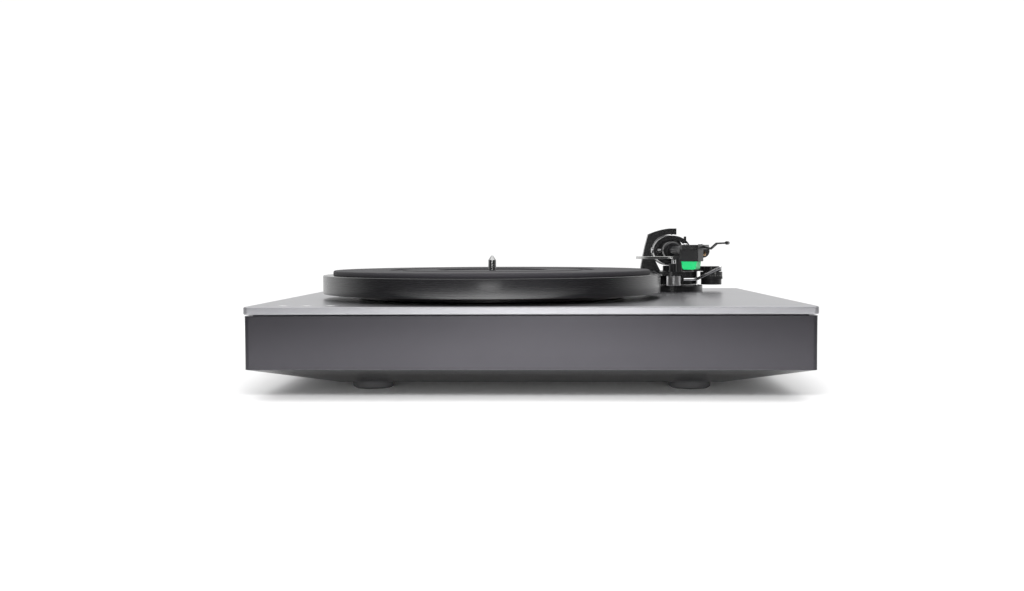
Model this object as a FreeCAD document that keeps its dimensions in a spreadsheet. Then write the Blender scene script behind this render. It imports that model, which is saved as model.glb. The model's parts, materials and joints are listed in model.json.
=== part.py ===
# Turntable record player with a direct drive motor and a gimbal tonearm.
# Millimetres, +Z up, +X to the right of the player's front, origin under the middle of the case.
import FreeCAD, Part
import math
import os
import re
import Sketcher

# Driving sizes: name, value, what it measures.
SIZES = [
    # case
    ("plate_width", 435.0, "top plate, left to right"),
    ("plate_depth", 368.0, "top plate, front to back"),
    ("plate_thick", 6.0, "top plate"),
    ("plate_corner", 4.0, "radius of the plate's upright corners"),
    ("plate_chamfer", 0.7, "edge chamfer of the plate"),
    ("foot_height", 8.0, "floor to the flat underside"),
    ("taper_height", 16.0, "height of the sloping underside"),
    ("taper_inset", 60.0, "how far the underside slopes in"),
    ("face_height", 41.0, "upright face of the plinth"),
    ("gap_height", 1.0, "shadow gap under the plate"),
    ("gap_inset", 5.0, "depth of the shadow gap"),
    ("plinth_inset", 0.8, "plinth inside the plate's edge"),
    ("wall", 12.0, "plinth wall"),
    ("floor_rise", 2.0, "cavity floor above the lower edge of the face"),
    ("cover_width", 200.0, "base cover"),
    ("cover_depth", 140.0, "base cover"),
    ("cover_thick", 2.5, "base cover"),
    ("cover_ledge", 12.0, "ledge that the base cover is screwed to"),
    ("foot_x", 132.0, "foot from the middle"),
    ("foot_y", 93.0, "foot from the middle"),
    ("foot_radius", 18.0, "foot"),
    ("post_radius", 9.0, "post inside the plinth over each foot"),
    # platter and motor
    ("platter_x", -35.6, "platter axis"),
    ("platter_y", -21.2, "platter axis"),
    ("platter_radius", 150.0, "platter"),
    ("platter_height", 15.9, "platter rim"),
    ("platter_lift", 4.7, "plate to the underside of the platter"),
    ("platter_chamfer", 0.6, "edge chamfer of the platter"),
    ("mat_radius", 141.0, "mat"),
    ("mat_thick", 4.2, "mat"),
    ("bead_inner", 80.0, "groove for the lip of a small record"),
    ("bead_outer", 92.0, "groove for the lip of a small record"),
    ("label_radius", 50.0, "recess for a record's label"),
    ("groove_depth", 1.0, "depth of the mat's grooves"),
    ("rotor_radius", 118.0, "rotor disc under the platter"),
    ("rotor_lift", 1.0, "plate to the rotor disc"),
    ("rotor_hub", 16.0, "radius of the rotor's hub"),
    ("motor_radius", 60.0, "rotor flange inside the motor dish"),
    ("motor_depth", 26.0, "motor dish below the plate"),
    ("dish_wall", 4.0, "wall of the motor dish"),
    ("dish_flange", 14.0, "flange of the motor dish"),
    ("magnet_width", 26.0, "radial width of the magnet ring"),
    ("magnet_thick", 5.0, "magnet ring"),
    ("coil_radius", 9.0, "drive coil"),
    ("coil_thick", 4.0, "drive coil"),
    ("coil_gap", 1.5, "coils to magnet"),
    ("board_thick", 1.6, "circuit boards"),
    ("shaft_radius", 5.0, "platter shaft in its bush"),
    ("bush_wall", 3.0, "bearing bush"),
    ("housing_wall", 3.0, "bearing housing"),
    ("housing_drop", 36.0, "bearing housing below the plate"),
    ("spindle_radius", 3.575, "record spindle"),
    ("spindle_rise", 12.6, "spindle above the mat"),
    ("spindle_tip", 4.0, "pointed tip of the spindle"),
    ("running_gap", 0.03, "radial clearance of a shaft in its bearing"),
    ("slip_gap", 0.1, "clearance of a part that is set down or slides"),
    # buttons
    ("button_x", -154.0, "first button"),
    ("button_pitch", 18.5, "button to button"),
    ("button_back", 20.0, "buttons behind the plate's front edge"),
    ("button_radius", 4.8, "button"),
    ("button_gap", 0.2, "clearance around a button"),
    ("button_travel", 1.2, "travel of a button"),
    # rear connections
    ("panel_x", 92.0, "middle of the connector panel"),
    ("panel_width", 176.0, "connector panel"),
    ("panel_height", 30.0, "connector panel"),
    ("panel_thick", 2.0, "connector panel"),
    ("recess_depth", 8.0, "recess that the connections stand in"),
    ("jack_radius", 4.15, "outside of a signal jack"),
    ("jack_bore", 1.6, "bore of a signal jack"),
    ("jack_length", 8.0, "signal jack outside the panel"),
    ("inlet_width", 27.0, "mains inlet"),
    ("inlet_height", 20.0, "mains inlet"),
    # tonearm base
    ("pivot_x", 140.0, "upright pivot axis of the arm"),
    ("pivot_y", 114.6, "upright pivot axis of the arm"),
    ("collar_radius", 31.0, "arm collar on the plate"),
    ("collar_height", 6.2, "arm collar on the plate"),
    ("pillar_radius", 5.5, "arm pillar"),
    ("pillar_height", 10.2, "arm pillar above its collar"),
    ("platform_thick", 4.0, "arm platform"),
    ("drum_radius", 26.0, "drum under the arm platform"),
    ("drum_gap", 1.0, "drum above the collar"),
    ("arm_height", 41.0, "tilting axis of the arm above the plate"),
    ("yoke_inner_x", 21.6, "half width of the yoke's opening"),
    ("yoke_inner_z", 16.2, "half height of the yoke's opening"),
    ("yoke_foot", 32.0, "yoke's foot from the pivot"),
    ("yoke_shoulder", 24.2, "yoke's upper corner from the pivot"),
    ("yoke_nose", 4.3, "yoke's free end past the pivot"),
    ("yoke_crown", 22.1, "top of the yoke above the tilting axis"),
    ("yoke_thick", 10.0, "yoke, front to back"),
    ("ring_half_x", 18.8, "half width of the gimbal ring"),
    ("ring_half_z", 15.0, "half height of the gimbal ring"),
    ("ring_wall", 4.0, "wall of the gimbal ring"),
    ("ring_length", 9.0, "gimbal ring along the arm"),
    ("ring_gap", 0.5, "gimbal ring above the hub"),
    ("lower_pivot", 3.0, "radius of the gimbal's lower pivot"),
    # arm
    ("rest_angle", 0.4, "arm tube at rest, outwards from straight ahead"),
    ("tube_reach", 214.7, "pivot to the headshell"),
    ("tube_radius", 4.5, "arm tube at the pivot"),
    ("tube_end", 4.0, "arm tube at the headshell"),
    ("tube_wall", 0.7, "arm tube"),
    ("block_radius", 9.0, "bearing block"),
    ("block_length", 20.0, "bearing block"),
    ("stub_radius", 4.0, "stub that carries the counterweight"),
    ("stub_end", 62.0, "end of the stub behind the pivot"),
    ("weight_start", 33.0, "front of the counterweight behind the pivot"),
    ("weight_length", 24.0, "counterweight"),
    ("weight_radius", 15.7, "counterweight"),
    ("weight_rim", 2.7, "wall around the hollow in the counterweight's front"),
    ("weight_back", 4.0, "solid back of the counterweight"),
    ("dial_radius", 12.5, "tracking force dial"),
    ("dial_length", 4.5, "tracking force dial"),
    ("shell_offset", 26.94, "headshell turned in from the tube"),
    ("shell_width", 15.5, "headshell"),
    ("shell_length", 36.5, "headshell in front of the tube"),
    ("shell_thick", 3.5, "headshell"),
    ("shell_rise", 1.7, "underside of the headshell above the tube's axis"),
    ("stylus_reach", 27.0, "stylus in front of the tube's end"),
    ("stylus_height", 26.0, "stylus above the plate"),
    ("cartridge_width", 15.5, "cartridge"),
    ("cartridge_length", 17.0, "cartridge"),
    ("cartridge_height", 9.7, "cartridge"),
    ("guard_width", 13.0, "stylus body"),
    ("guard_length", 10.5, "stylus body"),
    ("guard_height", 6.5, "stylus body"),
    ("screw_radius", 1.25, "cartridge screw"),
    ("screw_spacing", 12.7, "between the cartridge screws"),
    # arm lift, rest and bias
    ("lift_reach", 38.0, "lift bar from the pivot"),
    ("lift_angle", 3.2, "lift plunger, inwards from straight ahead"),
    ("lift_gap", 1.3, "lift bar under the arm tube"),
    ("lift_travel", 4.0, "travel of the lift bar"),
    ("bar_thick", 2.6, "lift bar"),
    ("plunger_radius", 2.0, "lift plunger"),
    ("lift_foot_radius", 7.0, "foot of the lift housing"),
    ("lever_radius", 1.4, "cue lever rod"),
    ("lever_x", 161.0, "outer end of the cue lever's shaft"),
    ("lever_y", 86.0, "cue lever's shaft"),
    ("lever_height", 12.2, "cue lever's shaft above the plate"),
    ("rest_reach", 60.0, "arm rest from the pivot"),
    ("rest_gap", 0.4, "arm rest under the tube"),
    ("bias_x", 179.0, "anti-skate unit"),
    ("bias_y", 107.0, "anti-skate unit"),
    ("bias_radius", 10.25, "anti-skate unit"),
    ("bias_low", 6.6, "underside of the anti-skate unit above the plate"),
    ("bias_top", 25.0, "top of the anti-skate unit above the plate"),
    ("bias_dial", 11.05, "anti-skate dial"),
]
NAMES = {name for name, _, _ in SIZES}

doc = FreeCAD.newDocument("record_player")
sheet = doc.addObject("Spreadsheet::Sheet", "sizes")
for row, (name, value, meaning) in enumerate(SIZES, start=1):
    sheet.set(f"A{row}", meaning)
    sheet.set(f"B{row}", str(value))
    sheet.setAlias(f"B{row}", name)
doc.recompute()

# Heights worked out from the sizes, as expressions.
FACE_LOW = "(foot_height + taper_height)"
FACE_TOP = f"({FACE_LOW} + face_height)"
PLATE_LOW = f"({FACE_TOP} + gap_height)"
PLATE_TOP = f"({PLATE_LOW} + plate_thick)"
CAVITY_LOW = f"({FACE_LOW} + floor_rise)"
PLATTER_LOW = f"({PLATE_TOP} + platter_lift)"
PLATTER_TOP = f"({PLATTER_LOW} + platter_height)"
MAT_TOP = f"({PLATTER_TOP} + mat_thick)"
COLLAR_TOP = f"({PLATE_TOP} + collar_height)"
PLATFORM_LOW = f"({COLLAR_TOP} + pillar_height)"
PLATFORM_TOP = f"({PLATFORM_LOW} + platform_thick)"
ARM_AXIS = f"({PLATE_TOP} + arm_height)"
RING_LOW = f"({ARM_AXIS} - ring_half_z)"
HUB_TOP = f"({RING_LOW} - ring_gap)"
SHELL_LOW = f"({ARM_AXIS} + shell_rise)"
CARTRIDGE_LOW = f"({SHELL_LOW} - cartridge_height)"
LEVER_AXIS = f"({PLATE_TOP} + lever_height)"
PLINTH_BACK = "(plate_depth / 2 - plinth_inset)"
PANEL_BACK = f"({PLINTH_BACK} - recess_depth)"
PANEL_Z = f"({FACE_LOW} + face_height / 2)"

nodes = {}


def sized(text):
    """The expression with each size read from the sheet."""
    return re.sub(r"[a-z]\w*", lambda word: f"sizes.{word[0]}" if word[0] in NAMES else word[0], text)


def measure(text):
    """The expression's present value."""
    result = sheet.evalExpression(sized(text))
    return float(getattr(result, "Value", result))


def node(piece, label):
    """Names a finished piece, which is written to the file of that name."""
    piece.Label = label
    nodes[label] = piece
    return piece


def place(piece, x="0", y="0", z="0"):
    """Puts a piece where the three expressions say."""
    for axis, text in zip("xyz", (x, y, z)):
        piece.setExpression("Placement.Base." + axis, sized(text))
    return piece


def turn(piece, axis, angle):
    """Turns a piece about an axis through its own origin, by an expression in degrees."""
    piece.Placement = FreeCAD.Placement(piece.Placement.Base, FreeCAD.Rotation(FreeCAD.Vector(axis), 1.0))
    piece.setExpression("Placement.Rotation.Angle", sized(angle))
    return piece


def on_arm(piece, x="0", y="0", z="0"):
    """Puts a piece in the arm's frame: pivot at the origin, tube along -Y, z from the floor."""
    swing = "(rest_angle * 1deg)"
    turn(piece, (0, 0, 1), "rest_angle")
    across = f"pivot_x + ({x}) * cos{swing} - ({y}) * sin{swing}"
    along = f"pivot_y + ({x}) * sin{swing} + ({y}) * cos{swing}"
    return place(piece, across, along, z)


def on_shell(piece, x="0", y="0", z="0"):
    """Puts a piece in the headshell's frame: end of the tube at the origin, front along -Y."""
    offset = "(shell_offset * 1deg)"
    across = f"({x}) * cos{offset} + ({y}) * sin{offset}"
    along = f"({y}) * cos{offset} - ({x}) * sin{offset} - tube_reach"
    on_arm(piece, across, along, z)
    return turn(piece, (0, 0, 1), "rest_angle - shell_offset")


def sketch_on(body, role, offset="0"):
    """Empty sketch on one of the body's own origin planes, moved along the plane's normal."""
    sketch = body.newObject("Sketcher::SketchObject", body.Name + "_sketch")
    plane = next(feature for feature in body.Origin.OriginFeatures if feature.Role == role)
    sketch.AttachmentSupport = [(plane, "")]
    sketch.MapMode = "FlatFace"
    sketch.setExpression("AttachmentOffset.Base.z", sized(offset))
    return sketch


def hold(sketch, kind, element, point, text):
    """Ties one coordinate of a sketch point to an expression."""
    number = sketch.addConstraint(Sketcher.Constraint(kind, -1, 1, element, point, measure(text)))
    sketch.setExpression(f"Constraints[{number}]", sized(text))


def polygon(sketch, corners):
    """Closed outline through (across, up) pairs of expressions."""
    spots = [FreeCAD.Vector(measure(across), measure(up), 0) for across, up in corners]
    count = len(spots)
    for index in range(count):
        sketch.addGeometry(Part.LineSegment(spots[index], spots[(index + 1) % count]))
    for index, (across, up) in enumerate(corners):
        sketch.addConstraint(Sketcher.Constraint("Coincident", index, 2, (index + 1) % count, 1))
        hold(sketch, "DistanceX", index, 1, across)
        hold(sketch, "DistanceY", index, 1, up)


def circle(sketch, across, up, radius):
    """Circle with its centre and radius tied to expressions."""
    centre = FreeCAD.Vector(measure(across), measure(up), 0)
    element = sketch.addGeometry(Part.Circle(centre, FreeCAD.Vector(0, 0, 1), measure(radius)))
    hold(sketch, "DistanceX", element, 3, across)
    hold(sketch, "DistanceY", element, 3, up)
    number = sketch.addConstraint(Sketcher.Constraint("Radius", element, measure(radius)))
    sketch.setExpression(f"Constraints[{number}]", sized(radius))


def rounded_rectangle(sketch, width, depth, corner):
    """Centred rectangle with round corners: four sides, then the four arcs between them."""
    half_x, half_y, inner_x, inner_y = (
        f"({width}) / 2", f"({depth}) / 2", f"(({width}) / 2 - ({corner}))",
        f"(({depth}) / 2 - ({corner}))")
    sides = [
        (f"-{inner_x}", f"-{half_y}", inner_x, f"-{half_y}"),
        (half_x, f"-{inner_y}", half_x, inner_y),
        (inner_x, half_y, f"-{inner_x}", half_y),
        (f"-{half_x}", inner_y, f"-{half_x}", f"-{inner_y}"),
    ]
    centres = [(inner_x, f"-{inner_y}"), (inner_x, inner_y), (f"-{inner_x}", inner_y),
               (f"-{inner_x}", f"-{inner_y}")]
    for start_x, start_y, end_x, end_y in sides:
        start = FreeCAD.Vector(measure(start_x), measure(start_y), 0)
        end = FreeCAD.Vector(measure(end_x), measure(end_y), 0)
        sketch.addGeometry(Part.LineSegment(start, end))
    for index, (centre_x, centre_y) in enumerate(centres):
        centre = FreeCAD.Vector(measure(centre_x), measure(centre_y), 0)
        ring = Part.Circle(centre, FreeCAD.Vector(0, 0, 1), measure(corner))
        first = (index - 1) * math.pi / 2
        sketch.addGeometry(Part.ArcOfCircle(ring, first, first + math.pi / 2))
    for index, (start_x, start_y, end_x, end_y) in enumerate(sides):
        hold(sketch, "DistanceX", index, 1, start_x)
        hold(sketch, "DistanceY", index, 1, start_y)
        hold(sketch, "DistanceX", index, 2, end_x)
        hold(sketch, "DistanceY", index, 2, end_y)
        sketch.addConstraint(Sketcher.Constraint("Coincident", index, 2, 4 + index, 1))
        sketch.addConstraint(Sketcher.Constraint("Coincident", 4 + index, 2, (index + 1) % 4, 1))
        number = sketch.addConstraint(Sketcher.Constraint("Radius", 4 + index, measure(corner)))
        sketch.setExpression(f"Constraints[{number}]", sized(corner))


def new_body(name):
    """Empty body."""
    return doc.addObject("PartDesign::Body", name)


def pad(body, sketch, length):
    """Pad of a sketch along its normal."""
    feature = body.newObject("PartDesign::Pad", body.Name + "_pad")
    feature.Profile = sketch
    feature.setExpression("Length", sized(length))
    return feature


def pocket(body, sketch, length):
    """Pocket of a sketch against its normal."""
    feature = body.newObject("PartDesign::Pocket", body.Name + "_pocket")
    feature.Profile = sketch
    feature.setExpression("Length", sized(length))
    return feature


def slab(name, corners, low, high):
    """Prism with a many-sided outline seen from above, between two heights."""
    body = new_body(name)
    sketch = sketch_on(body, "XY_Plane", low)
    polygon(sketch, corners)
    pad(body, sketch, f"({high}) - ({low})")
    return body


def side_slab(name, corners, back):
    """Prism with an outline seen from the front, as thick as its place behind and in front of Y = 0."""
    body = new_body(name)
    sketch = sketch_on(body, "XZ_Plane", f"-({back})")
    polygon(sketch, corners)
    pad(body, sketch, f"2 * ({back})")
    return body


def turned(name, profile, about="Z"):
    """Round solid from (radius, place along the axis) pairs of expressions."""
    body = new_body(name)
    sketch = sketch_on(body, "XZ_Plane" if about == "Z" else "XY_Plane")
    polygon(sketch, [(along, radius) for radius, along in profile] if about == "X" else profile)
    feature = body.newObject("PartDesign::Revolution", name + "_revolution")
    feature.Profile = sketch
    feature.ReferenceAxis = (sketch, ["H_Axis" if about == "X" else "V_Axis"])
    feature.Angle = 360
    return body


def tube(name, outer, inner, low, high, about="Z"):
    """Plain ring."""
    return turned(name, [(inner, low), (outer, low), (outer, high), (inner, high)], about)


def disc(name, radius, low, high, about="Z"):
    """Plain cylinder."""
    return tube(name, radius, "0", low, high, about)


def screw(name, head, head_height, shank, length):
    """Screw that points up, the flat of its head at its origin."""
    profile = [("0", "0"), (head, "0"), (head, head_height), (shank, head_height), (shank, length),
               ("0", length)]
    return turned(name, profile)


def block(name, x_low, x_high, y_low, y_high, z_low, z_high):
    """Box between two corners."""
    piece = doc.addObject("Part::Box", name)
    piece.setExpression("Length", sized(f"({x_high}) - ({x_low})"))
    piece.setExpression("Width", sized(f"({y_high}) - ({y_low})"))
    piece.setExpression("Height", sized(f"({z_high}) - ({z_low})"))
    return place(piece, x_low, y_low, z_low)


def group(name, pieces):
    """Several separate solids as one object."""
    piece = doc.addObject("Part::Compound", name)
    piece.Links = pieces
    return piece


def cut(name, base, *tools):
    """Base without the tools."""
    piece = doc.addObject("Part::Cut", name)
    piece.Base = base
    piece.Tool = tools[0] if len(tools) == 1 else group(name + "_tools", list(tools))
    return piece


def fuse(name, *pieces):
    """One solid from several."""
    piece = doc.addObject("Part::MultiFuse", name)
    piece.Shapes = list(pieces)
    piece.Refine = True
    return piece


def corners_of(x, y):
    """The four corners at plus and minus x and y."""
    return [(f"{side}({x})", f"{end}({y})") for side in ("-", "+") for end in ("-", "+")]


def around(count, radius, x, y, start=0.0):
    """Places evenly spaced on a circle."""
    angles = [f"({start + 360.0 * index / count} * 1deg)" for index in range(count)]
    return [(f"{x} + ({radius}) * cos{angle}", f"{y} + ({radius}) * sin{angle}") for angle in angles]


def solid_of(name, shape):
    """Piece whose shape is made from the sheet's sizes by the code above it."""
    piece = doc.addObject("Part::Feature", name)
    piece.Shape = shape
    return piece


def bent_rod(points, radius, setback):
    """Round rod along straight runs, with a tangent arc at each corner that starts a setback before it."""
    edges = []
    start = points[0]
    for before, corner, after in zip(points, points[1:], points[2:]):
        arriving = (corner - before).normalize()
        leaving = (after - corner).normalize()
        half = arriving.getAngle(leaving) / 2
        arc_radius = setback / math.tan(half)
        inward = (leaving - arriving).normalize()
        first = corner - arriving * setback
        middle = corner + inward * (arc_radius / math.cos(half) - arc_radius)
        last = corner + leaving * setback
        edges.append(Part.makeLine(start, first))
        edges.append(Part.Arc(first, middle, last).toShape())
        start = last
    edges.append(Part.makeLine(start, points[-1]))
    section = Part.Wire(Part.makeCircle(radius, points[0], points[1] - points[0]))
    return Part.Wire(edges).makePipeShell([section], True, False)


# ---------------------------------------------------------------- case

# Four soft feet, each clamped by a long screw that runs up through the plinth into the plate.
foot_places = corners_of("foot_x", "foot_y")
feet = []
foot_screws = []
for index, (x, y) in enumerate(foot_places):
    screw_shape = screw(f"foot_screw_{index}", "4.5", "3", "2", f"{PLATE_LOW} - 0.5")
    foot_screws.append(place(screw_shape, x, y, "3"))
    profile = [("4.7", "0"), ("foot_radius - 3", "0"), ("foot_radius - 1", "1.5"),
               ("foot_radius", "foot_height"),
               ("2", "foot_height"), ("2", "6"), ("4.7", "6")]
    feet.append(place(turned(f"foot_{index}", profile), x, y))
node(group("feet_group", feet), "feet")
screws_low = node(group("foot_screw_group", foot_screws), "foot_screws")

# Plinth: upright walls, a rim that carries the plate, a floor that slopes in below.
plinth_width = "(plate_width - 2 * plinth_inset)"
plinth_depth = "(plate_depth - 2 * plinth_inset)"
shell = new_body("plinth_shell")
face_sketch = sketch_on(shell, "XY_Plane", FACE_LOW)
rounded_rectangle(face_sketch, plinth_width, plinth_depth, "plate_corner")
pad(shell, face_sketch, "face_height")
rim_sketch = sketch_on(shell, "XY_Plane", FACE_TOP)
rounded_rectangle(rim_sketch, f"{plinth_width} - 2 * gap_inset", f"{plinth_depth} - 2 * gap_inset",
                  "plate_corner")
pad(shell, rim_sketch, "gap_height")
taper_top = sketch_on(shell, "XY_Plane", FACE_LOW)
rounded_rectangle(taper_top, plinth_width, plinth_depth, "plate_corner")
taper_foot = sketch_on(shell, "XY_Plane", "foot_height")
rounded_rectangle(taper_foot, f"{plinth_width} - 2 * taper_inset", f"{plinth_depth} - 2 * taper_inset",
                  "plate_corner / 2")
loft = shell.newObject("PartDesign::AdditiveLoft", "plinth_taper")
loft.Profile = taper_top
loft.Sections = [taper_foot]
loft.Ruled = True
doc.recompute()
cavity_sketch = sketch_on(shell, "XY_Plane", PLATE_LOW)
rounded_rectangle(cavity_sketch, f"{plinth_width} - 2 * wall", f"{plinth_depth} - 2 * wall", "plate_corner")
pocket(shell, cavity_sketch, f"{PLATE_LOW} - {CAVITY_LOW}")
for x, y in foot_places:
    post_sketch = sketch_on(shell, "XY_Plane", CAVITY_LOW)
    circle(post_sketch, x, y, "post_radius")
    pad(shell, post_sketch, f"{PLATE_LOW} - {CAVITY_LOW}")
cover_x = "(cover_width / 2)"
cover_y = "(cover_depth / 2)"
cover_recess = block("cover_recess", f"-{cover_x}", cover_x, f"-{cover_y}", cover_y,
                     "foot_height - 1", "foot_height + cover_thick")
base_opening = block("base_opening", f"cover_ledge - {cover_x}", f"{cover_x} - cover_ledge",
                     f"cover_ledge - {cover_y}", f"{cover_y} - cover_ledge", "foot_height",
                     f"{CAVITY_LOW} + 1")
panel_low = f"({PANEL_Z} - panel_height / 2)"
panel_high = f"({PANEL_Z} + panel_height / 2)"
panel_left = "(panel_x - panel_width / 2)"
panel_right = "(panel_x + panel_width / 2)"
panel_recess = block("panel_recess", panel_left, panel_right, f"{PANEL_BACK} - panel_thick",
                     f"{PLINTH_BACK} + 1",
                     panel_low, panel_high)
panel_window = block("panel_window", f"{panel_left} + 6", f"{panel_right} - 6", f"{PLINTH_BACK} - wall - 1",
                     PANEL_BACK, f"{panel_low} + 3", f"{panel_high} - 3")
cover_screws = []
for index, (x, y) in enumerate(corners_of(f"{cover_x} - 6", f"{cover_y} - 6")):
    cover_screws.append(place(screw(f"cover_screw_{index}", "3", "1.2", "1.5", "10"), x, y, "foot_height"))
cover_fixings = node(group("cover_screw_group", cover_screws), "base_cover_screws")
panel_screws = []
for index, side in enumerate((f"{panel_left} + 3.2", f"{panel_right} - 3.2")):
    fixing = turned(f"panel_screw_{index}", [("0", "0"), ("2.4", "0"), ("2.4", "-1.6"), ("1.2", "-1.6"),
                                             ("1.2", "-6"), ("0", "-6")], "Y")
    panel_screws.append(place(fixing, side, f"{PANEL_BACK} + 1.6", PANEL_Z))
panel_fixings = node(group("panel_screw_group", panel_screws), "panel_screws")
node(cut("plinth_cut", shell, cover_recess, base_opening, panel_recess, panel_window, screws_low,
         cover_fixings,
         panel_fixings), "plinth")
cover_plate = block("cover_plate", f"slip_gap - {cover_x}", f"{cover_x} - slip_gap",
                    f"slip_gap - {cover_y}",
                    f"{cover_y} - slip_gap", "foot_height", "foot_height + cover_thick")
node(cut("cover_cut", cover_plate, cover_fixings), "base_cover")

# ---------------------------------------------------------------- motor and platter

# The rotor disc carries the platter; its flange hangs in a dish under the plate, over flat coils.
dish_outer = "(motor_radius + 6 + dish_wall)"
dish_low = f"({PLATE_LOW} - motor_depth)"
board_low = f"({dish_low} + dish_wall + 6)"
board_top = f"({board_low} + board_thick)"
magnet_low = f"({board_top} + coil_thick + coil_gap)"
flange_low = f"({magnet_low} + magnet_thick)"
rotor_low = f"({PLATE_TOP} + rotor_lift)"
housing_low = f"({PLATE_LOW} - housing_drop)"
housing_top = f"({magnet_low} + 2)"
housing_outer = "(shaft_radius + bush_wall + housing_wall)"
shaft_low = f"({housing_low} + housing_wall + 2)"


def at_platter(piece):
    """Puts a piece on the platter's axis."""
    return place(piece, "platter_x", "platter_y")


motor_screws = []
for index, (x, y) in enumerate(around(4, f"{dish_outer} + dish_flange / 2", "platter_x", "platter_y",
                                      45.0)):
    fixing = turned(f"motor_screw_{index}", [("0", "0"), ("3.5", "0"), ("2", "-1.8"), ("2", "-9"),
                                             ("0", "-9")])
    motor_screws.append(place(fixing, x, y, PLATE_TOP))
motor_fixings = node(group("motor_screw_group", motor_screws), "motor_screws")
dish = at_platter(turned("dish_turning", [
    (housing_outer, dish_low), (dish_outer, dish_low), (dish_outer, f"{PLATE_LOW} - 4"),
    (f"{dish_outer} + dish_flange", f"{PLATE_LOW} - 4"), (f"{dish_outer} + dish_flange", PLATE_LOW),
    (f"{dish_outer} - dish_wall", PLATE_LOW), (f"{dish_outer} - dish_wall", board_low),
    ("motor_radius", board_low), ("motor_radius", f"{dish_low} + dish_wall"),
    (housing_outer, f"{dish_low} + dish_wall")]))
node(cut("dish_cut", dish, motor_fixings), "motor_dish")
node(at_platter(turned("bearing_housing_turning", [
    ("0", housing_low), (housing_outer, housing_low), (housing_outer, f"{dish_low} + dish_wall"),
    (f"{housing_outer} + 8", f"{dish_low} + dish_wall"), (f"{housing_outer} + 8",
                                                          f"{dish_low} + dish_wall + 3"),
    (housing_outer, f"{dish_low} + dish_wall + 3"), (housing_outer, housing_top),
    ("shaft_radius + bush_wall", housing_top), ("shaft_radius + bush_wall",
                                                f"{housing_low} + housing_wall"),
    ("0", f"{housing_low} + housing_wall")])), "bearing_housing")
node(at_platter(disc("thrust_turning", "shaft_radius + bush_wall", f"{housing_low} + housing_wall",
                     shaft_low)),
     "thrust_pad")
node(at_platter(tube("bush_turning", "shaft_radius + bush_wall", "shaft_radius + running_gap",
                     f"{shaft_low} + 1", housing_top)), "bearing_bush")
node(at_platter(tube("stator_turning", f"{dish_outer} - dish_wall - slip_gap", f"{housing_outer} + 5",
                     board_low, board_top)), "stator_board")
coils = []
for index, (x, y) in enumerate(around(9, f"{housing_outer} + 5 + motor_radius / 2 - 8", "platter_x",
                                      "platter_y")):
    coils.append(place(tube(f"coil_{index}", "coil_radius", "coil_radius / 3", board_top,
                            f"{board_top} + coil_thick"), x, y))
node(group("coil_group", coils), "drive_coils")

node(at_platter(turned("rotor_turning", [
    ("shaft_radius", flange_low), ("motor_radius", flange_low), ("motor_radius", f"{flange_low} + 3"),
    ("rotor_hub", f"{flange_low} + 3"), ("rotor_hub", rotor_low), ("rotor_radius", rotor_low),
    ("rotor_radius", PLATTER_LOW), ("shaft_radius", PLATTER_LOW)])), "rotor_disc")
node(at_platter(tube("magnet_turning", "motor_radius - 4", "motor_radius - 4 - magnet_width",
                     magnet_low, flange_low)), "rotor_magnet")
spindle_top = f"({MAT_TOP} + spindle_rise)"
neck = f"({MAT_TOP} - groove_depth)"
node(at_platter(turned("spindle_turning", [
    ("0", shaft_low), ("shaft_radius", shaft_low), ("shaft_radius", PLATTER_LOW),
    ("spindle_radius + 0.4", PLATTER_LOW), ("spindle_radius + 0.4", neck), ("spindle_radius", neck),
    ("spindle_radius", f"{spindle_top} - spindle_tip"), ("0.8", spindle_top), ("0", spindle_top)])),
    "spindle")
node(at_platter(turned("platter_turning", [
    ("spindle_radius + 0.4 + slip_gap", PLATTER_LOW), ("rotor_radius / 3", PLATTER_LOW),
    ("rotor_radius / 3", f"{PLATTER_LOW} + 8"), ("rotor_radius - 10", f"{PLATTER_LOW} + 8"),
    ("rotor_radius - 10", PLATTER_LOW), ("platter_radius - platter_chamfer", PLATTER_LOW),
    ("platter_radius", f"{PLATTER_LOW} + platter_chamfer"),
    ("platter_radius", f"{PLATTER_TOP} - platter_chamfer"), ("platter_radius - platter_chamfer",
                                                             PLATTER_TOP),
    ("spindle_radius + 0.4 + slip_gap", PLATTER_TOP)])), "platter")
node(at_platter(turned("mat_turning", [
    ("spindle_radius + 0.4 + slip_gap", PLATTER_TOP), ("mat_radius", PLATTER_TOP), ("mat_radius", MAT_TOP),
    ("bead_outer", MAT_TOP), ("bead_outer", neck), ("bead_inner", neck), ("bead_inner", MAT_TOP),
    ("label_radius", MAT_TOP), ("label_radius", neck), ("spindle_radius + 0.4 + slip_gap", neck)])),
    "platter_mat")

# ---------------------------------------------------------------- buttons and electronics

# Three flush buttons with a shoulder under the plate, over the switches of their board.
button_y = "(button_back - plate_depth / 2)"
button_names = ["stop_button", "low_speed_button", "high_speed_button"]
button_places = [f"button_x - {index} * button_pitch" for index in range(len(button_names))]
button_low = f"({PLATE_LOW} - 3)"
for label, x in zip(button_names, button_places):
    profile = [("0", button_low), ("button_radius + 1.2", button_low),
               ("button_radius + 1.2", f"{PLATE_LOW} - 0.5"),
               ("button_radius", f"{PLATE_LOW} - 0.5"), ("button_radius", f"{PLATE_TOP} - 0.4"),
               ("button_radius - 0.4", PLATE_TOP), ("0", PLATE_TOP)]
    node(place(turned(label + "_turning", profile), x, button_y), label)
board_left = "(button_x - 2 * button_pitch - 9)"
switch_top = f"({button_low} - button_travel - 0.3)"
button_board = block("button_board_plate", board_left, "button_x + 9", f"{button_y} - 6", f"{button_y} + 7",
                     f"{switch_top} - 4 - board_thick", f"{switch_top} - 4")
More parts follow.
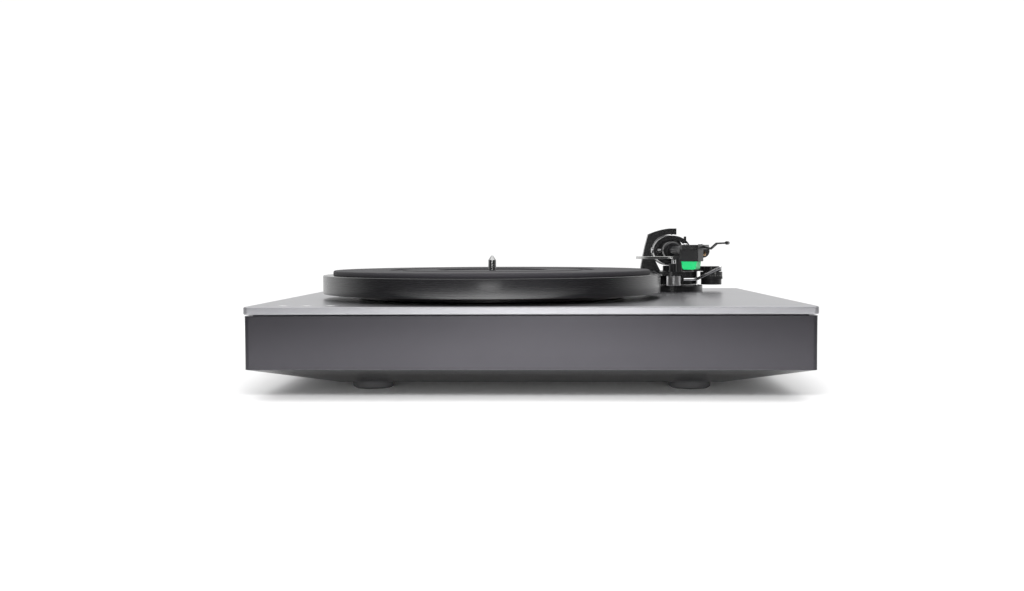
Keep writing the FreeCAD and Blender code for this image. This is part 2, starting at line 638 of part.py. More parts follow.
switches = [block(f"switch_{index}", f"{x} - 3", f"{x} + 3", f"{button_y} - 3", f"{button_y} + 3",
                  f"{switch_top} - 4", switch_top) for index, x in enumerate(button_places)]
spacers = [place(disc(f"board_spacer_{index}", "2", f"{switch_top} - 4", PLATE_LOW), x, f"{button_y} + 5")
           for index, x in enumerate(("button_x - button_pitch / 2", "button_x - button_pitch * 3 / 2"))]
node(fuse("button_board_fusion", button_board, *switches, *spacers), "button_board")

# Control board and transformer lie on the plinth's floor at the rear.
board_y = "(plate_depth / 2 - 74)"
control_plate = block("control_plate", "-190", "-110", board_y, f"{board_y} + 52", f"{CAVITY_LOW} + 6",
                      f"{CAVITY_LOW} + 6 + board_thick")
standoffs = [place(disc(f"standoff_{index}", "3", CAVITY_LOW, f"{CAVITY_LOW} + 6"), x, y)
             for index, (x, y) in enumerate([("-184", f"{board_y} + 6"), ("-184", f"{board_y} + 46"),
                                             ("-116", f"{board_y} + 6"), ("-116", f"{board_y} + 46")])]
chip = block("control_chip", "-160", "-146", f"{board_y} + 16", f"{board_y} + 30",
             f"{CAVITY_LOW} + 6 + board_thick", f"{CAVITY_LOW} + 8 + board_thick")
capacitor = place(disc("control_capacitor", "6", f"{CAVITY_LOW} + 6 + board_thick", f"{CAVITY_LOW} + 24"),
                  "-130", f"{board_y} + 30")
node(fuse("control_fusion", control_plate, *standoffs, chip, capacitor), "control_board")
core = block("transformer_core", "-90", "-42", f"{board_y} + 4", f"{board_y} + 44", CAVITY_LOW,
             f"{CAVITY_LOW} + 30")
winding_front = block("transformer_winding_front", "-82", "-50", f"{board_y} - 4", f"{board_y} + 4",
                      f"{CAVITY_LOW} + 6", f"{CAVITY_LOW} + 24")
winding_rear = block("transformer_winding_rear", "-82", "-50", f"{board_y} + 44", f"{board_y} + 52",
                     f"{CAVITY_LOW} + 6", f"{CAVITY_LOW} + 24")
node(fuse("transformer_fusion", core, winding_front, winding_rear), "transformer")

# ---------------------------------------------------------------- rear connections

# Everything on the panel stands inside the recess, so that nothing passes the plate's rear edge.
jack_places = ["panel_x + 74", "panel_x + 56"]
ground_x = "panel_x + 38"
switch_x = "panel_x + 18"
inlet_x = "panel_x - 32"
rocker_x = "panel_x - 68"


def at_panel(piece, x):
    """Puts a piece on the outer face of the connector panel."""
    return place(piece, x, PANEL_BACK, PANEL_Z)


jacks = []
for index, x in enumerate(jack_places):
    profile = [("jack_bore", "-6"), ("5", "-6"), ("5", "0"), ("6.5", "0"), ("6.5", "1.5"),
               ("jack_radius", "1.5"),
               ("jack_radius", "jack_length"), ("jack_bore", "jack_length")]
    jacks.append(at_panel(turned(f"jack_{index}", profile, "Y"), x))
node(group("jack_group", jacks), "signal_jacks")
post = at_panel(turned("ground_post_turning", [
    ("0", "-6"), ("4", "-6"), ("4", "-2"), ("2", "-2"), ("2", "jack_length"), ("0", "jack_length")], "Y"),
    ground_x)
node(post, "ground_post")
nut_profile = [("2 + slip_gap", "0.2"), ("5", "0.2"), ("5", "5"), ("4", "6"), ("2 + slip_gap", "6")]
node(at_panel(turned("ground_nut_turning", nut_profile, "Y"), ground_x), "ground_nut")
inlet_shell = block("inlet_shell", f"{inlet_x} - inlet_width / 2", f"{inlet_x} + inlet_width / 2",
                    f"{PANEL_BACK} - 14", f"{PANEL_BACK} + 4", f"{PANEL_Z} - inlet_height / 2",
                    f"{PANEL_Z} + inlet_height / 2")
inlet_hollow = block("inlet_hollow", f"{inlet_x} - inlet_width / 2 + 2", f"{inlet_x} + inlet_width / 2 - 2",
                     f"{PANEL_BACK} - 12", f"{PANEL_BACK} + 5", f"{PANEL_Z} - inlet_height / 2 + 2",
                     f"{PANEL_Z} + inlet_height / 2 - 2")
inlet_pins = [block(f"inlet_pin_{index}", f"{inlet_x} + {7 * side} - 1", f"{inlet_x} + {7 * side} + 1",
                    f"{PANEL_BACK} - 13", f"{PANEL_BACK} - 2", f"{PANEL_Z} - 2", f"{PANEL_Z} + 2")
              for index, side in enumerate((-1, 0, 1))]
inlet_case = cut("inlet_case", inlet_shell, inlet_hollow)
node(fuse("inlet_fusion", inlet_case, *inlet_pins), "mains_inlet")
switch_slot = block("switch_slot", f"{switch_x} - 6", f"{switch_x} + 6", f"{PANEL_BACK} - panel_thick - 1",
                    f"{PANEL_BACK} + 1", f"{PANEL_Z} - 3", f"{PANEL_Z} + 3")
slider_foot = block("slider_foot", f"{switch_x} - 9", f"{switch_x} + 6",
                    f"{PANEL_BACK} - panel_thick - 2.2",
                    f"{PANEL_BACK} - panel_thick - 0.2", f"{PANEL_Z} - 4", f"{PANEL_Z} + 4")
slider_knob = block("slider_knob", f"{switch_x} - 5.5", f"{switch_x} + 1.5",
                    f"{PANEL_BACK} - panel_thick - 1",
                    f"{PANEL_BACK} + 2.5", f"{PANEL_Z} - 2.7", f"{PANEL_Z} + 2.7")
node(fuse("slider_fusion", slider_foot, slider_knob), "output_switch")
rocker_slot = block("rocker_slot", f"{rocker_x} - 6.5", f"{rocker_x} + 6.5",
                    f"{PANEL_BACK} - panel_thick - 1",
                    f"{PANEL_BACK} + 1", f"{PANEL_Z} - 10.3", f"{PANEL_Z} + 10.3")
rocker = side_slab("rocker_slab", [("-6", "-9"), ("6", "-9"), ("6", "9"), ("-6", "9")], "1.4")
rocker_shaft = disc("rocker_shaft", "1.5", "-8", "8", "X")
place(rocker, rocker_x, f"{PANEL_BACK} - panel_thick + 1.2", PANEL_Z)
place(rocker_shaft, rocker_x, f"{PANEL_BACK} - panel_thick - 1.8", PANEL_Z)
rocker_neck = block("rocker_neck", f"{rocker_x} - 5", f"{rocker_x} + 5",
                    f"{PANEL_BACK} - panel_thick - 1.8",
                    f"{PANEL_BACK} - panel_thick", f"{PANEL_Z} - 1.2", f"{PANEL_Z} + 1.2")
node(fuse("rocker_fusion", rocker, rocker_neck, rocker_shaft), "power_rocker")
panel_plate = block("panel_plate", f"{panel_left} + slip_gap", f"{panel_right} - slip_gap",
                    f"{PANEL_BACK} - panel_thick", PANEL_BACK, f"{panel_low} + slip_gap",
                    f"{panel_high} - slip_gap")
jack_holes = [at_panel(disc(f"jack_hole_{index}", "5", "-panel_thick - 1", "1", "Y"), x)
              for index, x in enumerate(jack_places)]
post_hole = at_panel(disc("post_hole", "2", "-panel_thick - 1", "1", "Y"), ground_x)
inlet_hole = block("inlet_hole", f"{inlet_x} - inlet_width / 2", f"{inlet_x} + inlet_width / 2",
                   f"{PANEL_BACK} - panel_thick - 1", f"{PANEL_BACK} + 1", f"{PANEL_Z} - inlet_height / 2",
                   f"{PANEL_Z} + inlet_height / 2")
node(cut("panel_cut", panel_plate, *jack_holes, post_hole, inlet_hole, switch_slot, rocker_slot,
         panel_fixings),
     "connector_panel")

# ---------------------------------------------------------------- tonearm base


def at_pivot(piece, z="0"):
    """Puts a piece on the arm's upright axis."""
    return place(piece, "pivot_x", "pivot_y", z)


collar_screws = []
for index, (x, y) in enumerate(around(3, "collar_radius - 5", "pivot_x", "pivot_y", -20.0)):
    fixing = turned(f"collar_screw_{index}", [("0", "0.6"), ("2.6", "0"), ("2.6", "-1.8"), ("1.5", "-1.8"),
                                              ("1.5", "-collar_height - plate_thick + 1"),
                                              ("0", "-collar_height - plate_thick + 1")])
    collar_screws.append(place(fixing, x, y, COLLAR_TOP))
collar_fixings = node(group("collar_screw_group", collar_screws), "collar_screws")
collar = at_pivot(turned("collar_turning", [
    ("pillar_radius", PLATE_TOP), ("collar_radius", PLATE_TOP), ("collar_radius", f"{COLLAR_TOP} - 0.8"),
    ("collar_radius - 0.8", COLLAR_TOP), ("pillar_radius", COLLAR_TOP)]))
node(cut("collar_cut", collar, collar_fixings), "arm_collar")
nut_low = f"({PLATE_LOW} - 5)"
node(at_pivot(disc("pillar_turning", "pillar_radius", f"{nut_low} - 2", PLATFORM_LOW)), "arm_pillar")
nut_sides = around(6, "pillar_radius + 5", "0", "0")
nut_blank = at_pivot(slab("nut_slab", nut_sides, nut_low, PLATE_LOW))
nut_bore = at_pivot(disc("nut_bore", "pillar_radius", f"{nut_low} - 1", f"{PLATE_LOW} + 1"))
node(cut("nut_cut", nut_blank, nut_bore), "pillar_nut")

# Platform: a drum around the pillar, hub with the lower pivot's bore, a seat for the yoke,
# a tongue for lift and rest, and a wing for the bias unit.
rest_along = "rest_reach + 5"
tongue_right = "7.5"
deck_corners = [
    ("-yoke_foot - 2", "-7"), ("-20", "-9"), ("-14", "-lift_reach - 6"), ("-5.5", "-lift_reach - 6"),
    ("-5.5", f"-{rest_along}"), (tongue_right, f"-{rest_along}"), (tongue_right, "-16"), ("12", "-10"),
    ("12", "10"), ("-12", "12"), ("-20", "8"), ("-yoke_foot - 2", "7")]
deck = at_pivot(slab("platform_deck", deck_corners, PLATFORM_LOW, PLATFORM_TOP))
hub = at_pivot(disc("platform_hub", "9", PLATFORM_TOP, HUB_TOP))
drum = at_pivot(turned("platform_drum", [
    ("pillar_radius + running_gap", f"{COLLAR_TOP} + drum_gap"), ("drum_radius",
                                                                  f"{COLLAR_TOP} + drum_gap"),
    ("drum_radius", f"{PLATFORM_TOP} - 0.6"), ("drum_radius - 0.6", PLATFORM_TOP), ("0", PLATFORM_TOP),
    ("0", PLATFORM_LOW), ("pillar_radius + running_gap", PLATFORM_LOW)]))
bias_top = f"({PLATE_TOP} + bias_top)"
wing_low = f"({bias_top} - 5)"
wing = block("platform_wing", "pivot_x + 4", "bias_x", "bias_y", "bias_y + 10", wing_low, bias_top)
boss = place(disc("platform_boss", "bias_radius", wing_low, bias_top), "bias_x", "bias_y")
hub_bore = at_pivot(disc("hub_bore", "lower_pivot + running_gap", f"{PLATFORM_TOP} + 0.5",
                         f"{HUB_TOP} + 1"))
lift_x = "(pivot_x - lift_reach * sin(lift_angle * 1deg))"
lift_y = "(pivot_y - lift_reach * cos(lift_angle * 1deg))"
lift_bore = place(disc("lift_bore", "plunger_radius + 2.5", f"{PLATFORM_LOW} - 1", f"{PLATFORM_TOP} + 1"),
                  lift_x, lift_y)
lug = block("lever_lug", "pivot_x + 2.5", "pivot_x + 8.5", "lever_y - 3.5", "lever_y + 3.5",
            f"{LEVER_AXIS} - 3", f"{PLATFORM_LOW} + 1")
lever_bore = place(disc("lever_bore", "lever_radius + running_gap", "-40", "40", "X"), "pivot_x", "lever_y",
                   LEVER_AXIS)
platform_solid = fuse("platform_fusion", deck, drum, hub, wing, boss, lug)
node(cut("platform_cut", platform_solid, hub_bore, lift_bore, lever_bore), "arm_platform")


def yoke_shape():
    """C-shaped bracket: two arcs outside, part of an ellipse inside, open to the right."""
    inner_x, inner_z, foot = measure("yoke_inner_x"), measure("yoke_inner_z"), measure("yoke_foot")
    shoulder, nose = measure("yoke_shoulder"), measure("yoke_nose")
    axis, crown, base = measure(ARM_AXIS), measure(f"{ARM_AXIS} + yoke_crown"), measure(PLATFORM_TOP)
    thick = measure("yoke_thick")
    corner_z = axis + inner_z

    def spot(x, z):
        return FreeCAD.Vector(x, -thick / 2, z)

    first = math.acos(nose / inner_x)
    last = math.pi + math.asin(0.6)
    opening = Part.Arc(*[spot(inner_x * math.cos(angle), axis + inner_z * math.sin(angle))
                         for angle in (first, (first + math.pi / 2) / 2, math.pi / 2)])
    start = opening.StartPoint
    top = opening.EndPoint
    side = Part.BSplineCurve()
    stretch = [math.pi / 2 + (last - math.pi / 2) * step / 6 for step in range(7)]
    side.interpolate([spot
                      (inner_x * math.cos(angle), axis + inner_z * math.sin(angle)) for angle in stretch])
    inside_foot = spot(-0.55 * inner_x, base)
    waist = foot - 3
    edges = [
        Part.Arc(spot(-foot, base), spot(-waist, axis - 3), spot(-shoulder, corner_z)).toShape(),
        Part.Arc(spot(-shoulder, corner_z), spot(-shoulder / 2, crown - 1.6), spot(1 - nose,
            crown)).toShape(),
        Part.makeLine(spot(1 - nose, crown), spot(nose, crown)),
        Part.makeLine(spot(nose, crown), start),
        opening.toShape(),
        side.toShape(),
        Part.makeLine(side.EndPoint, inside_foot),
        Part.makeLine(inside_foot, spot(-foot, base)),
    ]
    assert (top - side.StartPoint).Length < 0.001
    return Part.Face(Part.Wire(edges)).extrude(FreeCAD.Vector(0, thick, 0))


pivot_screw_low = f"({ARM_AXIS} + ring_half_z + 0.3)"
yoke_crown_z = f"({ARM_AXIS} + yoke_crown)"
top_screw = at_pivot(turned("pivot_screw_turning", [
    ("0", pivot_screw_low), ("2.2", f"{pivot_screw_low} + 2.4"), ("2.2", f"{yoke_crown_z} - 0.4"),
    ("0", f"{yoke_crown_z} - 0.4")]))
node(top_screw, "upper_pivot_screw")
yoke_blank = solid_of("yoke_blank", yoke_shape())
at_pivot(yoke_blank)
node(cut("yoke_cut", yoke_blank, top_screw), "bearing_yoke")

# Arm rest: a saddle on the tongue, open towards the platter, with a stop on its outer side.
tube_low = f"({ARM_AXIS} - tube_radius)"
rest_post = disc("rest_post", "3", PLATFORM_TOP, f"{tube_low} - rest_gap - 3")
place(rest_post, "pivot_x + 0.5", "pivot_y - rest_reach")
saddle_corners = [("-5", f"{tube_low} - rest_gap - 4"), ("6.5", f"{tube_low} - rest_gap - 4"),
                  ("8.5", f"{ARM_AXIS} + 2"), ("6", f"{ARM_AXIS} + 2"), ("5.4", f"{tube_low} - rest_gap"),
                  ("-5", f"{tube_low} - rest_gap")]
saddle = place(side_slab("rest_saddle", saddle_corners, "3"), "pivot_x + 0.5", "pivot_y - rest_reach")
node(fuse("rest_fusion", rest_post, saddle), "arm_rest")

# Bias unit: fixed core under the platform's wing, with a dial ring around it.
bias_low = f"({PLATE_TOP} + bias_low)"
bias_dial_low = f"({bias_low} + 5.6)"
bias_core = turned("bias_turning", [
    ("0", bias_low), ("bias_radius", bias_low), ("bias_radius", f"{bias_dial_low} - 0.1"),
    ("bias_radius - 2.2", f"{bias_dial_low} - 0.1"), ("bias_radius - 2.2", wing_low), ("0", wing_low)])
node(place(bias_core, "bias_x", "bias_y"), "antiskate_housing")
bias_ring = tube("bias_dial_turning", "bias_dial", "bias_radius - 2.2 + slip_gap", bias_dial_low,
                 f"{wing_low} - 0.6")
node(place(bias_ring, "bias_x", "bias_y"), "antiskate_dial")

# Arm lift: housing in the tongue, plunger with the curved bar, and the cue lever on its cross shaft.
bar_top = f"({tube_low} - lift_gap)"
lift_low = f"({PLATFORM_LOW} - 6)"
housing_top = f"({bar_top} - bar_thick - lift_travel - 0.5)"
housing = turned("lift_housing_turning", [
    ("plunger_radius + running_gap", f"{COLLAR_TOP} + 0.2"), ("lift_foot_radius", f"{COLLAR_TOP} + 0.2"),
    ("lift_foot_radius", PLATFORM_LOW), ("plunger_radius + 2.5", PLATFORM_LOW),
    ("plunger_radius + 2.5", housing_top), ("plunger_radius + running_gap", housing_top)])
place(housing, lift_x, lift_y)
node(housing, "lift_housing")
plunger = disc("plunger_turning", "plunger_radius", f"{lift_low} + lift_travel + 0.5",
               f"{bar_top} - bar_thick")
node(place(plunger, lift_x, lift_y), "lift_plunger")


def bar_shape():
    """Curved bar around the pivot, from under the resting tube to its thin inner tip."""
    radius, thick, top = measure("lift_reach"), measure("bar_thick"), measure(bar_top)
    spans = [(-8.0, 1.7), (50.0, 1.5), (74.0, 0.5)]

    def spot(angle, reach, z):
        turn_by = math.radians(angle)
        return FreeCAD.Vector(-reach * math.sin(turn_by), -reach * math.cos(turn_by), z)

    inner = [spot(angle, radius - half, top - thick) for angle, half in spans]
    outer = [spot(angle, radius + half, top - thick) for angle, half in spans]
    edges = [Part.Arc(*inner).toShape(), Part.makeLine(inner[2], outer[2]), Part.Arc(*outer).toShape(),
             Part.makeLine(outer[0], inner[0])]
    return Part.Face(Part.Wire(Part.__sortEdges__(edges))).extrude(FreeCAD.Vector(0, 0, thick))


bar = node(solid_of("lift_bar_shape", bar_shape()), "lift_bar")
at_pivot(bar)


def lever_shape():
    """Round rod: cross shaft in its bearing, one bend, then the long handle with a ball end."""
    radius, y, z = measure("lever_radius"), measure("lever_y"), measure(LEVER_AXIS)
    corner = FreeCAD.Vector(measure("lever_x"), y, z)
    tip = corner + FreeCAD.Vector(18.5, -34, 12.2)
    rod = bent_rod([FreeCAD.Vector(measure("pivot_x"), y, z), corner, tip], radius, 4.0)
    return rod.fuse(Part.makeSphere(radius * 1.15, tip)).removeSplitter()


node(solid_of("cue_lever_shape", lever_shape()), "cue_lever")

# ---------------------------------------------------------------- gimbal and arm


def ring_shape():
    """Oval ring around the tube with a short pivot under it and two lugs for the side screws."""
    half_x, half_z, ring = measure("ring_half_x"), measure("ring_half_z"), measure("ring_wall")
    length, axis = measure("ring_length"), measure(ARM_AXIS)
    low = measure(f"{PLATFORM_TOP} + 1")

    def oval(wide, tall):
        curve = Part.Ellipse(FreeCAD.Vector(0, 0, 0), wide, tall).toShape()
        curve.rotate(FreeCAD.Vector(0, 0, 0), FreeCAD.Vector(1, 0, 0), 90)
        curve.translate(FreeCAD.Vector(0, length / 2, axis))
        return Part.Face(Part.Wire(curve)).extrude(FreeCAD.Vector(0, -length, 0))

    pivot = Part.makeCylinder(measure("lower_pivot"), axis - half_z + ring / 2 - low, FreeCAD.Vector(0, 0,
        low))
    return oval(half_x, half_z).fuse(pivot).cut(oval(half_x - ring, half_z - ring)).removeSplitter()


ring_blank = solid_of("ring_blank", ring_shape())
on_arm(ring_blank)
block_half = "(block_radius + 0.3)"
side_screws = [
    on_arm(turned("side_screw_left", [
        ("0", "-ring_half_x - 1.6"), ("2.8", "-ring_half_x - 1.6"), ("2.8", "-ring_half_x"),
        ("1.6", "-ring_half_x"), ("1.6", f"-{block_half} - 1.6"), ("0.2", f"-{block_half}"),
        ("0", f"-{block_half}")], "X"), "0", "0", ARM_AXIS),
    on_arm(turned("side_screw_right", [
        ("0", block_half), ("0.2", block_half), ("1.6", f"{block_half} + 1.6"), ("1.6", "ring_half_x"),
        ("2.8", "ring_half_x"), ("2.8", "ring_half_x + 1.6"), ("0", "ring_half_x + 1.6")], "X"),
        "0", "0", ARM_AXIS)]
side_fixings = node(group("side_screw_group", side_screws), "side_pivot_screws")
bias_pin = on_arm(disc("bias_pin_turning", "1.3", f"{ARM_AXIS} + ring_half_z * 0.6",
                       f"{ARM_AXIS} + ring_half_z - 1"),
                  "13.5")
ring_solid = fuse("ring_fusion", ring_blank, bias_pin)
node(cut("ring_cut", ring_solid, side_fixings), "gimbal_ring")

bearing = turned("bearing_block_turning", [
    ("0", "-block_length / 2"), ("block_radius - 1.5", "-block_length / 2"), ("block_radius",
        "1.5 - block_length / 2"),
    ("block_radius", "block_length / 2 - 1.5"), ("block_radius - 1.5", "block_length / 2"),
    ("0", "block_length / 2")], "Y")
node(on_arm(bearing, "0", "0", ARM_AXIS), "bearing_block")
arm_tube = turned("arm_tube_turning", [
    ("tube_radius - tube_wall", "-block_length / 2"), ("tube_radius", "-block_length / 2"),
    ("tube_end", "-tube_reach"), ("tube_end - tube_wall", "-tube_reach")], "Y")
node(on_arm(arm_tube, "0", "0", ARM_AXIS), "arm_tube")
stub = disc("stub_turning", "stub_radius", "block_length / 2", "stub_end", "Y")
node(on_arm(stub, "0", "0", ARM_AXIS), "counterweight_stub")
weight_end = "(weight_start + weight_length)"
weight = turned("weight_turning", [
    ("weight_radius - weight_rim", "weight_start"), ("weight_radius - 1", "weight_start"),
    ("weight_radius", "weight_start + 1"), ("weight_radius", f"{weight_end} - 1"),
    ("weight_radius - 1", weight_end), ("stub_radius + running_gap", weight_end),
    ("stub_radius + running_gap", f"{weight_end} - weight_back"),
    ("weight_radius - weight_rim", f"{weight_end} - weight_back")], "Y")
node(on_arm(weight, "0", "0", ARM_AXIS), "counterweight")
dial_end = "(weight_start - 0.2)"
dial = tube("force_dial_turning", "dial_radius", "stub_radius + slip_gap", f"{dial_end} - dial_length",
            dial_end, "Y")
node(on_arm(dial, "0", "0", ARM_AXIS), "force_dial")

# ---------------------------------------------------------------- headshell and cartridge

# The flat headshell is turned in from the tube and socketed on its end.
half_shell = "(shell_width / 2)"
shell_plate = on_shell(slab("shell_slab", [
    ("-5", "2"), (f"-{half_shell}", "-8"), (f"-{half_shell}", "3 - shell_length"),
    (f"3 - {half_shell}", "-shell_length"), (f"{half_shell} - 3", "-shell_length"),
    (half_shell, "3 - shell_length"), (half_shell, "-8"), ("5", "2")], SHELL_LOW,
    f"{SHELL_LOW} + shell_thick"))
socket = disc("shell_socket", "tube_end + 1.4", "-tube_reach - 3", "-tube_reach + 9", "Y")
on_arm(socket, "0", "0", ARM_AXIS)
socket_bore = disc("shell_bore", "tube_end + 0.2", "-tube_reach", "-tube_reach + 12", "Y")
on_arm(socket_bore, "0", "0", ARM_AXIS)
cartridge_front = "(-stylus_reach - 6.5)"
cartridge_rear = f"({cartridge_front} + cartridge_length)"
screw_y = f"({cartridge_front} + 9.5)"
shell_top = f"({SHELL_LOW} + shell_thick)"
cartridge_screws = []
for index, side in enumerate(("-", "")):
    fixing = turned(f"cartridge_screw_{index}", [
        ("0", "1.1"), ("1.9", "1.1"), ("1.9", "0"), ("screw_radius", "0"), ("screw_radius",
            "-shell_thick - 4"),
        ("0", "-shell_thick - 4")])
    cartridge_screws.append(on_shell(fixing, f"{side}screw_spacing / 2", screw_y, shell_top))
cartridge_fixings = node(group("cartridge_screw_group", cartridge_screws), "cartridge_screws")
shell_solid = fuse("shell_fusion", shell_plate, socket)
node(cut("shell_cut", shell_solid, socket_bore, cartridge_fixings), "headshell")

half_cartridge = "(cartridge_width / 2)"
cartridge_block = on_shell(slab("cartridge_slab", [
    (f"-{half_cartridge}", cartridge_front), (half_cartridge, cartridge_front),
    (half_cartridge, f"{cartridge_rear} - 4"), (f"{half_cartridge} - 3", cartridge_rear),
    (f"3 - {half_cartridge}", cartridge_rear), (f"-{half_cartridge}", f"{cartridge_rear} - 4")],
    CARTRIDGE_LOW, SHELL_LOW))
node(cut("cartridge_cut", cartridge_block, cartridge_fixings), "cartridge_body")

# Stylus body: pushed up under the cartridge, with a channel for the cantilever.
half_guard = "(guard_width / 2)"
guard_low = f"({CARTRIDGE_LOW} - guard_height)"
guard_middle = f"({cartridge_front} + 0.5 + guard_length / 2)"
guard_block = on_shell(side_slab("guard_slab", [
    (f"-{half_guard}", CARTRIDGE_LOW), (f"0.7 - {half_guard}", f"{guard_low} + 1.2"),
    (f"1.8 - {half_guard}", guard_low), (f"{half_guard} - 1.8", guard_low),
    (f"{half_guard} - 0.7", f"{guard_low} + 1.2"), (half_guard, CARTRIDGE_LOW)], "guard_length / 2"),
    "0", guard_middle)
channel = on_shell(side_slab("guard_channel", [
    ("-1.2", f"{guard_low} - 1"), ("1.2", f"{guard_low} - 1"), ("1.2", f"{guard_low} + 2.6"),
    ("-1.2", f"{guard_low} + 2.6")], "guard_length / 2 - 1.2"), "0", guard_middle)
node(cut("guard_cut", guard_block, channel), "stylus_body")


def cantilever_shape():
    """Thin tube that slopes down to the stylus tip."""
    tip_low, root_high = measure(f"{PLATE_TOP} + stylus_height"), measure(f"{guard_low} + 2.1")
    tip_y, root_y = measure("-stylus_reach"), measure(f"{guard_middle} + guard_length / 2 - 1.2")
    start, end = FreeCAD.Vector(0, root_y, root_high), FreeCAD.Vector(0, tip_y, tip_low + 0.7)
    rod = Part.makeCylinder(0.35, (end - start).Length, start, end - start)
    tip = Part.makeCone(0.1, 0.32, 0.8, FreeCAD.Vector(0, tip_y + 0.3, tip_low))
    return rod.fuse(tip).removeSplitter()


node(on_shell(solid_of("cantilever_shape", cantilever_shape())), "stylus_cantilever")

# Finger lift: flat strip that dips and rises again, with a round end.
finger_y = "(-18)"
strip = on_shell(side_slab("finger_strip", [
    (half_shell, f"{shell_top} - 0.6"), ("13", f"{SHELL_LOW} + 1.1"), ("17.8", f"{SHELL_LOW} + 5.2"),
    ("26", f"{SHELL_LOW} + 5.5"), ("26", f"{SHELL_LOW} + 4.2"), ("18.2", f"{SHELL_LOW} + 3.9"),
    ("13.2", f"{SHELL_LOW} - 0.4"), (half_shell, f"{SHELL_LOW} + 0.9")], "2.2"), "0", finger_y)
bead = on_shell(disc("finger_bead", "1.4", "-2.2", "2.2", "Y"), "26.6", finger_y, f"{SHELL_LOW} + 4.9")
node(fuse("finger_fusion", strip, bead), "finger_lift")


def lead_shapes():
    """Four leads from the cartridge's rear pins, outwards in a small loop and up to the tube's end."""
    rear, low = measure(cartridge_rear), measure(CARTRIDGE_LOW)
    leads = []
    for index in range(4):
        side, rise = index - 1.5, index % 2
        points = [
            FreeCAD.Vector(2.6 * side, rear, low + 3.2 + 2.6 * rise),
            FreeCAD.Vector(2.6 * side, rear + 3.0, low + 3.2 + 2.6 * rise),
            FreeCAD.Vector(2.9 * side + 1.2, rear + 6.4, low + 2.0 + 2.6 * rise),
            FreeCAD.Vector(2.2 * side + 1.4, rear + 9.8, low + 3.8 + 2.2 * rise),
            FreeCAD.Vector(1.3 * side + 0.8, rear + 12.6, low + 5.8 + 1.5 * rise),
        ]
        leads.append(bent_rod(points, 0.45, 1.3))
    return Part.makeCompound(leads)


node(on_shell(solid_of("lead_shapes", lead_shapes())), "cartridge_leads")

# ---------------------------------------------------------------- top plate

plate = new_body("plate_body")
plate_sketch = sketch_on(plate, "XY_Plane", PLATE_LOW)
rounded_rectangle(plate_sketch, "plate_width", "plate_depth", "plate_corner")
plate_pad = pad(plate, plate_sketch, "plate_thick")
doc.recompute()
rims = (measure(PLATE_LOW), measure(PLATE_TOP))
edge_names = [f"Edge{number}" for number, edge in enumerate(plate_pad.Shape.Edges, start=1)
              if any(all(abs(vertex.Z - rim) < 0.001 for vertex in edge.Vertexes) for rim in rims)]
plate_edges = plate.newObject("PartDesign::Chamfer", "plate_edges")
plate_edges.Base = (plate_pad, edge_names)
plate_edges.setExpression("Size", sized("plate_chamfer"))
motor_hole = at_platter(disc("motor_hole", f"{dish_outer} - dish_wall", f"{PLATE_LOW} - 1",
                             f"{PLATE_TOP} + 1"))
pillar_hole = at_pivot(disc("pillar_hole", "pillar_radius", f"{PLATE_LOW} - 1", f"{PLATE_TOP} + 1"))
button_holes = [place(disc(f"button_hole_{index}", "button_radius + button_gap", f"{PLATE_LOW} - 1",
                           f"{PLATE_TOP} + 1"), x, button_y) for index, x in enumerate(button_places)]
node(cut("plate_cut", plate, motor_hole, pillar_hole, *button_holes, motor_fixings, collar_fixings,
         screws_low),
     "top_plate")

# ---------------------------------------------------------------- checks and export

doc.recompute()
for item in doc.Objects:
    if {"Invalid", "Error"} & set(item.State):
        raise RuntimeError(f"{item.Name} failed: {item.State}")
for label, piece in nodes.items():
    if piece.Shape.isNull() or not piece.Shape.isValid() or not piece.Shape.Solids:
        raise RuntimeError(f"{label} has no valid solid")
os.makedirs("parts", exist_ok=True)
for label, piece in nodes.items():
    piece.Shape.exportStep(f"parts/{label}.step")
print(len(nodes), "pieces written")
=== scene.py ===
import json
import math

import bmesh
import bpy
from mathutils import Matrix, Vector


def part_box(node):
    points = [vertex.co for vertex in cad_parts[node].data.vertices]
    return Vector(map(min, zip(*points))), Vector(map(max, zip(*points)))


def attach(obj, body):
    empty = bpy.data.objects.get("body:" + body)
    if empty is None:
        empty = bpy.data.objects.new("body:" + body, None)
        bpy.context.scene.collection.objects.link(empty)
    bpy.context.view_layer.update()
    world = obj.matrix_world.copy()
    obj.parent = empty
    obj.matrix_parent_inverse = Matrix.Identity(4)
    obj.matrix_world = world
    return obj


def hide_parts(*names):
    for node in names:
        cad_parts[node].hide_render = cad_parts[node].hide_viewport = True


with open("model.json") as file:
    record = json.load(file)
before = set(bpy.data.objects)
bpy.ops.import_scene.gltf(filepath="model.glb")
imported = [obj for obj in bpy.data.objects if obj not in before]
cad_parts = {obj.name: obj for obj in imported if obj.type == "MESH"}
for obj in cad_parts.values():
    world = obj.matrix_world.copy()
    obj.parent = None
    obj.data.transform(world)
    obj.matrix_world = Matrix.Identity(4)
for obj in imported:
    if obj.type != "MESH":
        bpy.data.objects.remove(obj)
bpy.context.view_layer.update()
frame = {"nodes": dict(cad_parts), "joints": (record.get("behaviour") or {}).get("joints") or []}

nodes = frame["nodes"]
joints = {joint["name"]: joint for joint in frame["joints"]}


def mm(*values):
    """Millimetres to metres: one number, or a vector of three."""
    return values[0] * 0.001 if len(values) == 1 else Vector(values) * 0.001


# ---------------------------------------------------------------- studio
# A round pale table top in a white room. One broad softbox hangs overhead and smaller lights fill
# from the front; the room is bright behind the record player and dim in front of it.

table_radius = 0.95
camera_place = Vector((0.01509, -1.01477, 0.11697))
camera_yaw, camera_pitch, camera_roll = 0.03316, -0.04382, -0.00354
camera_lens = 38.89

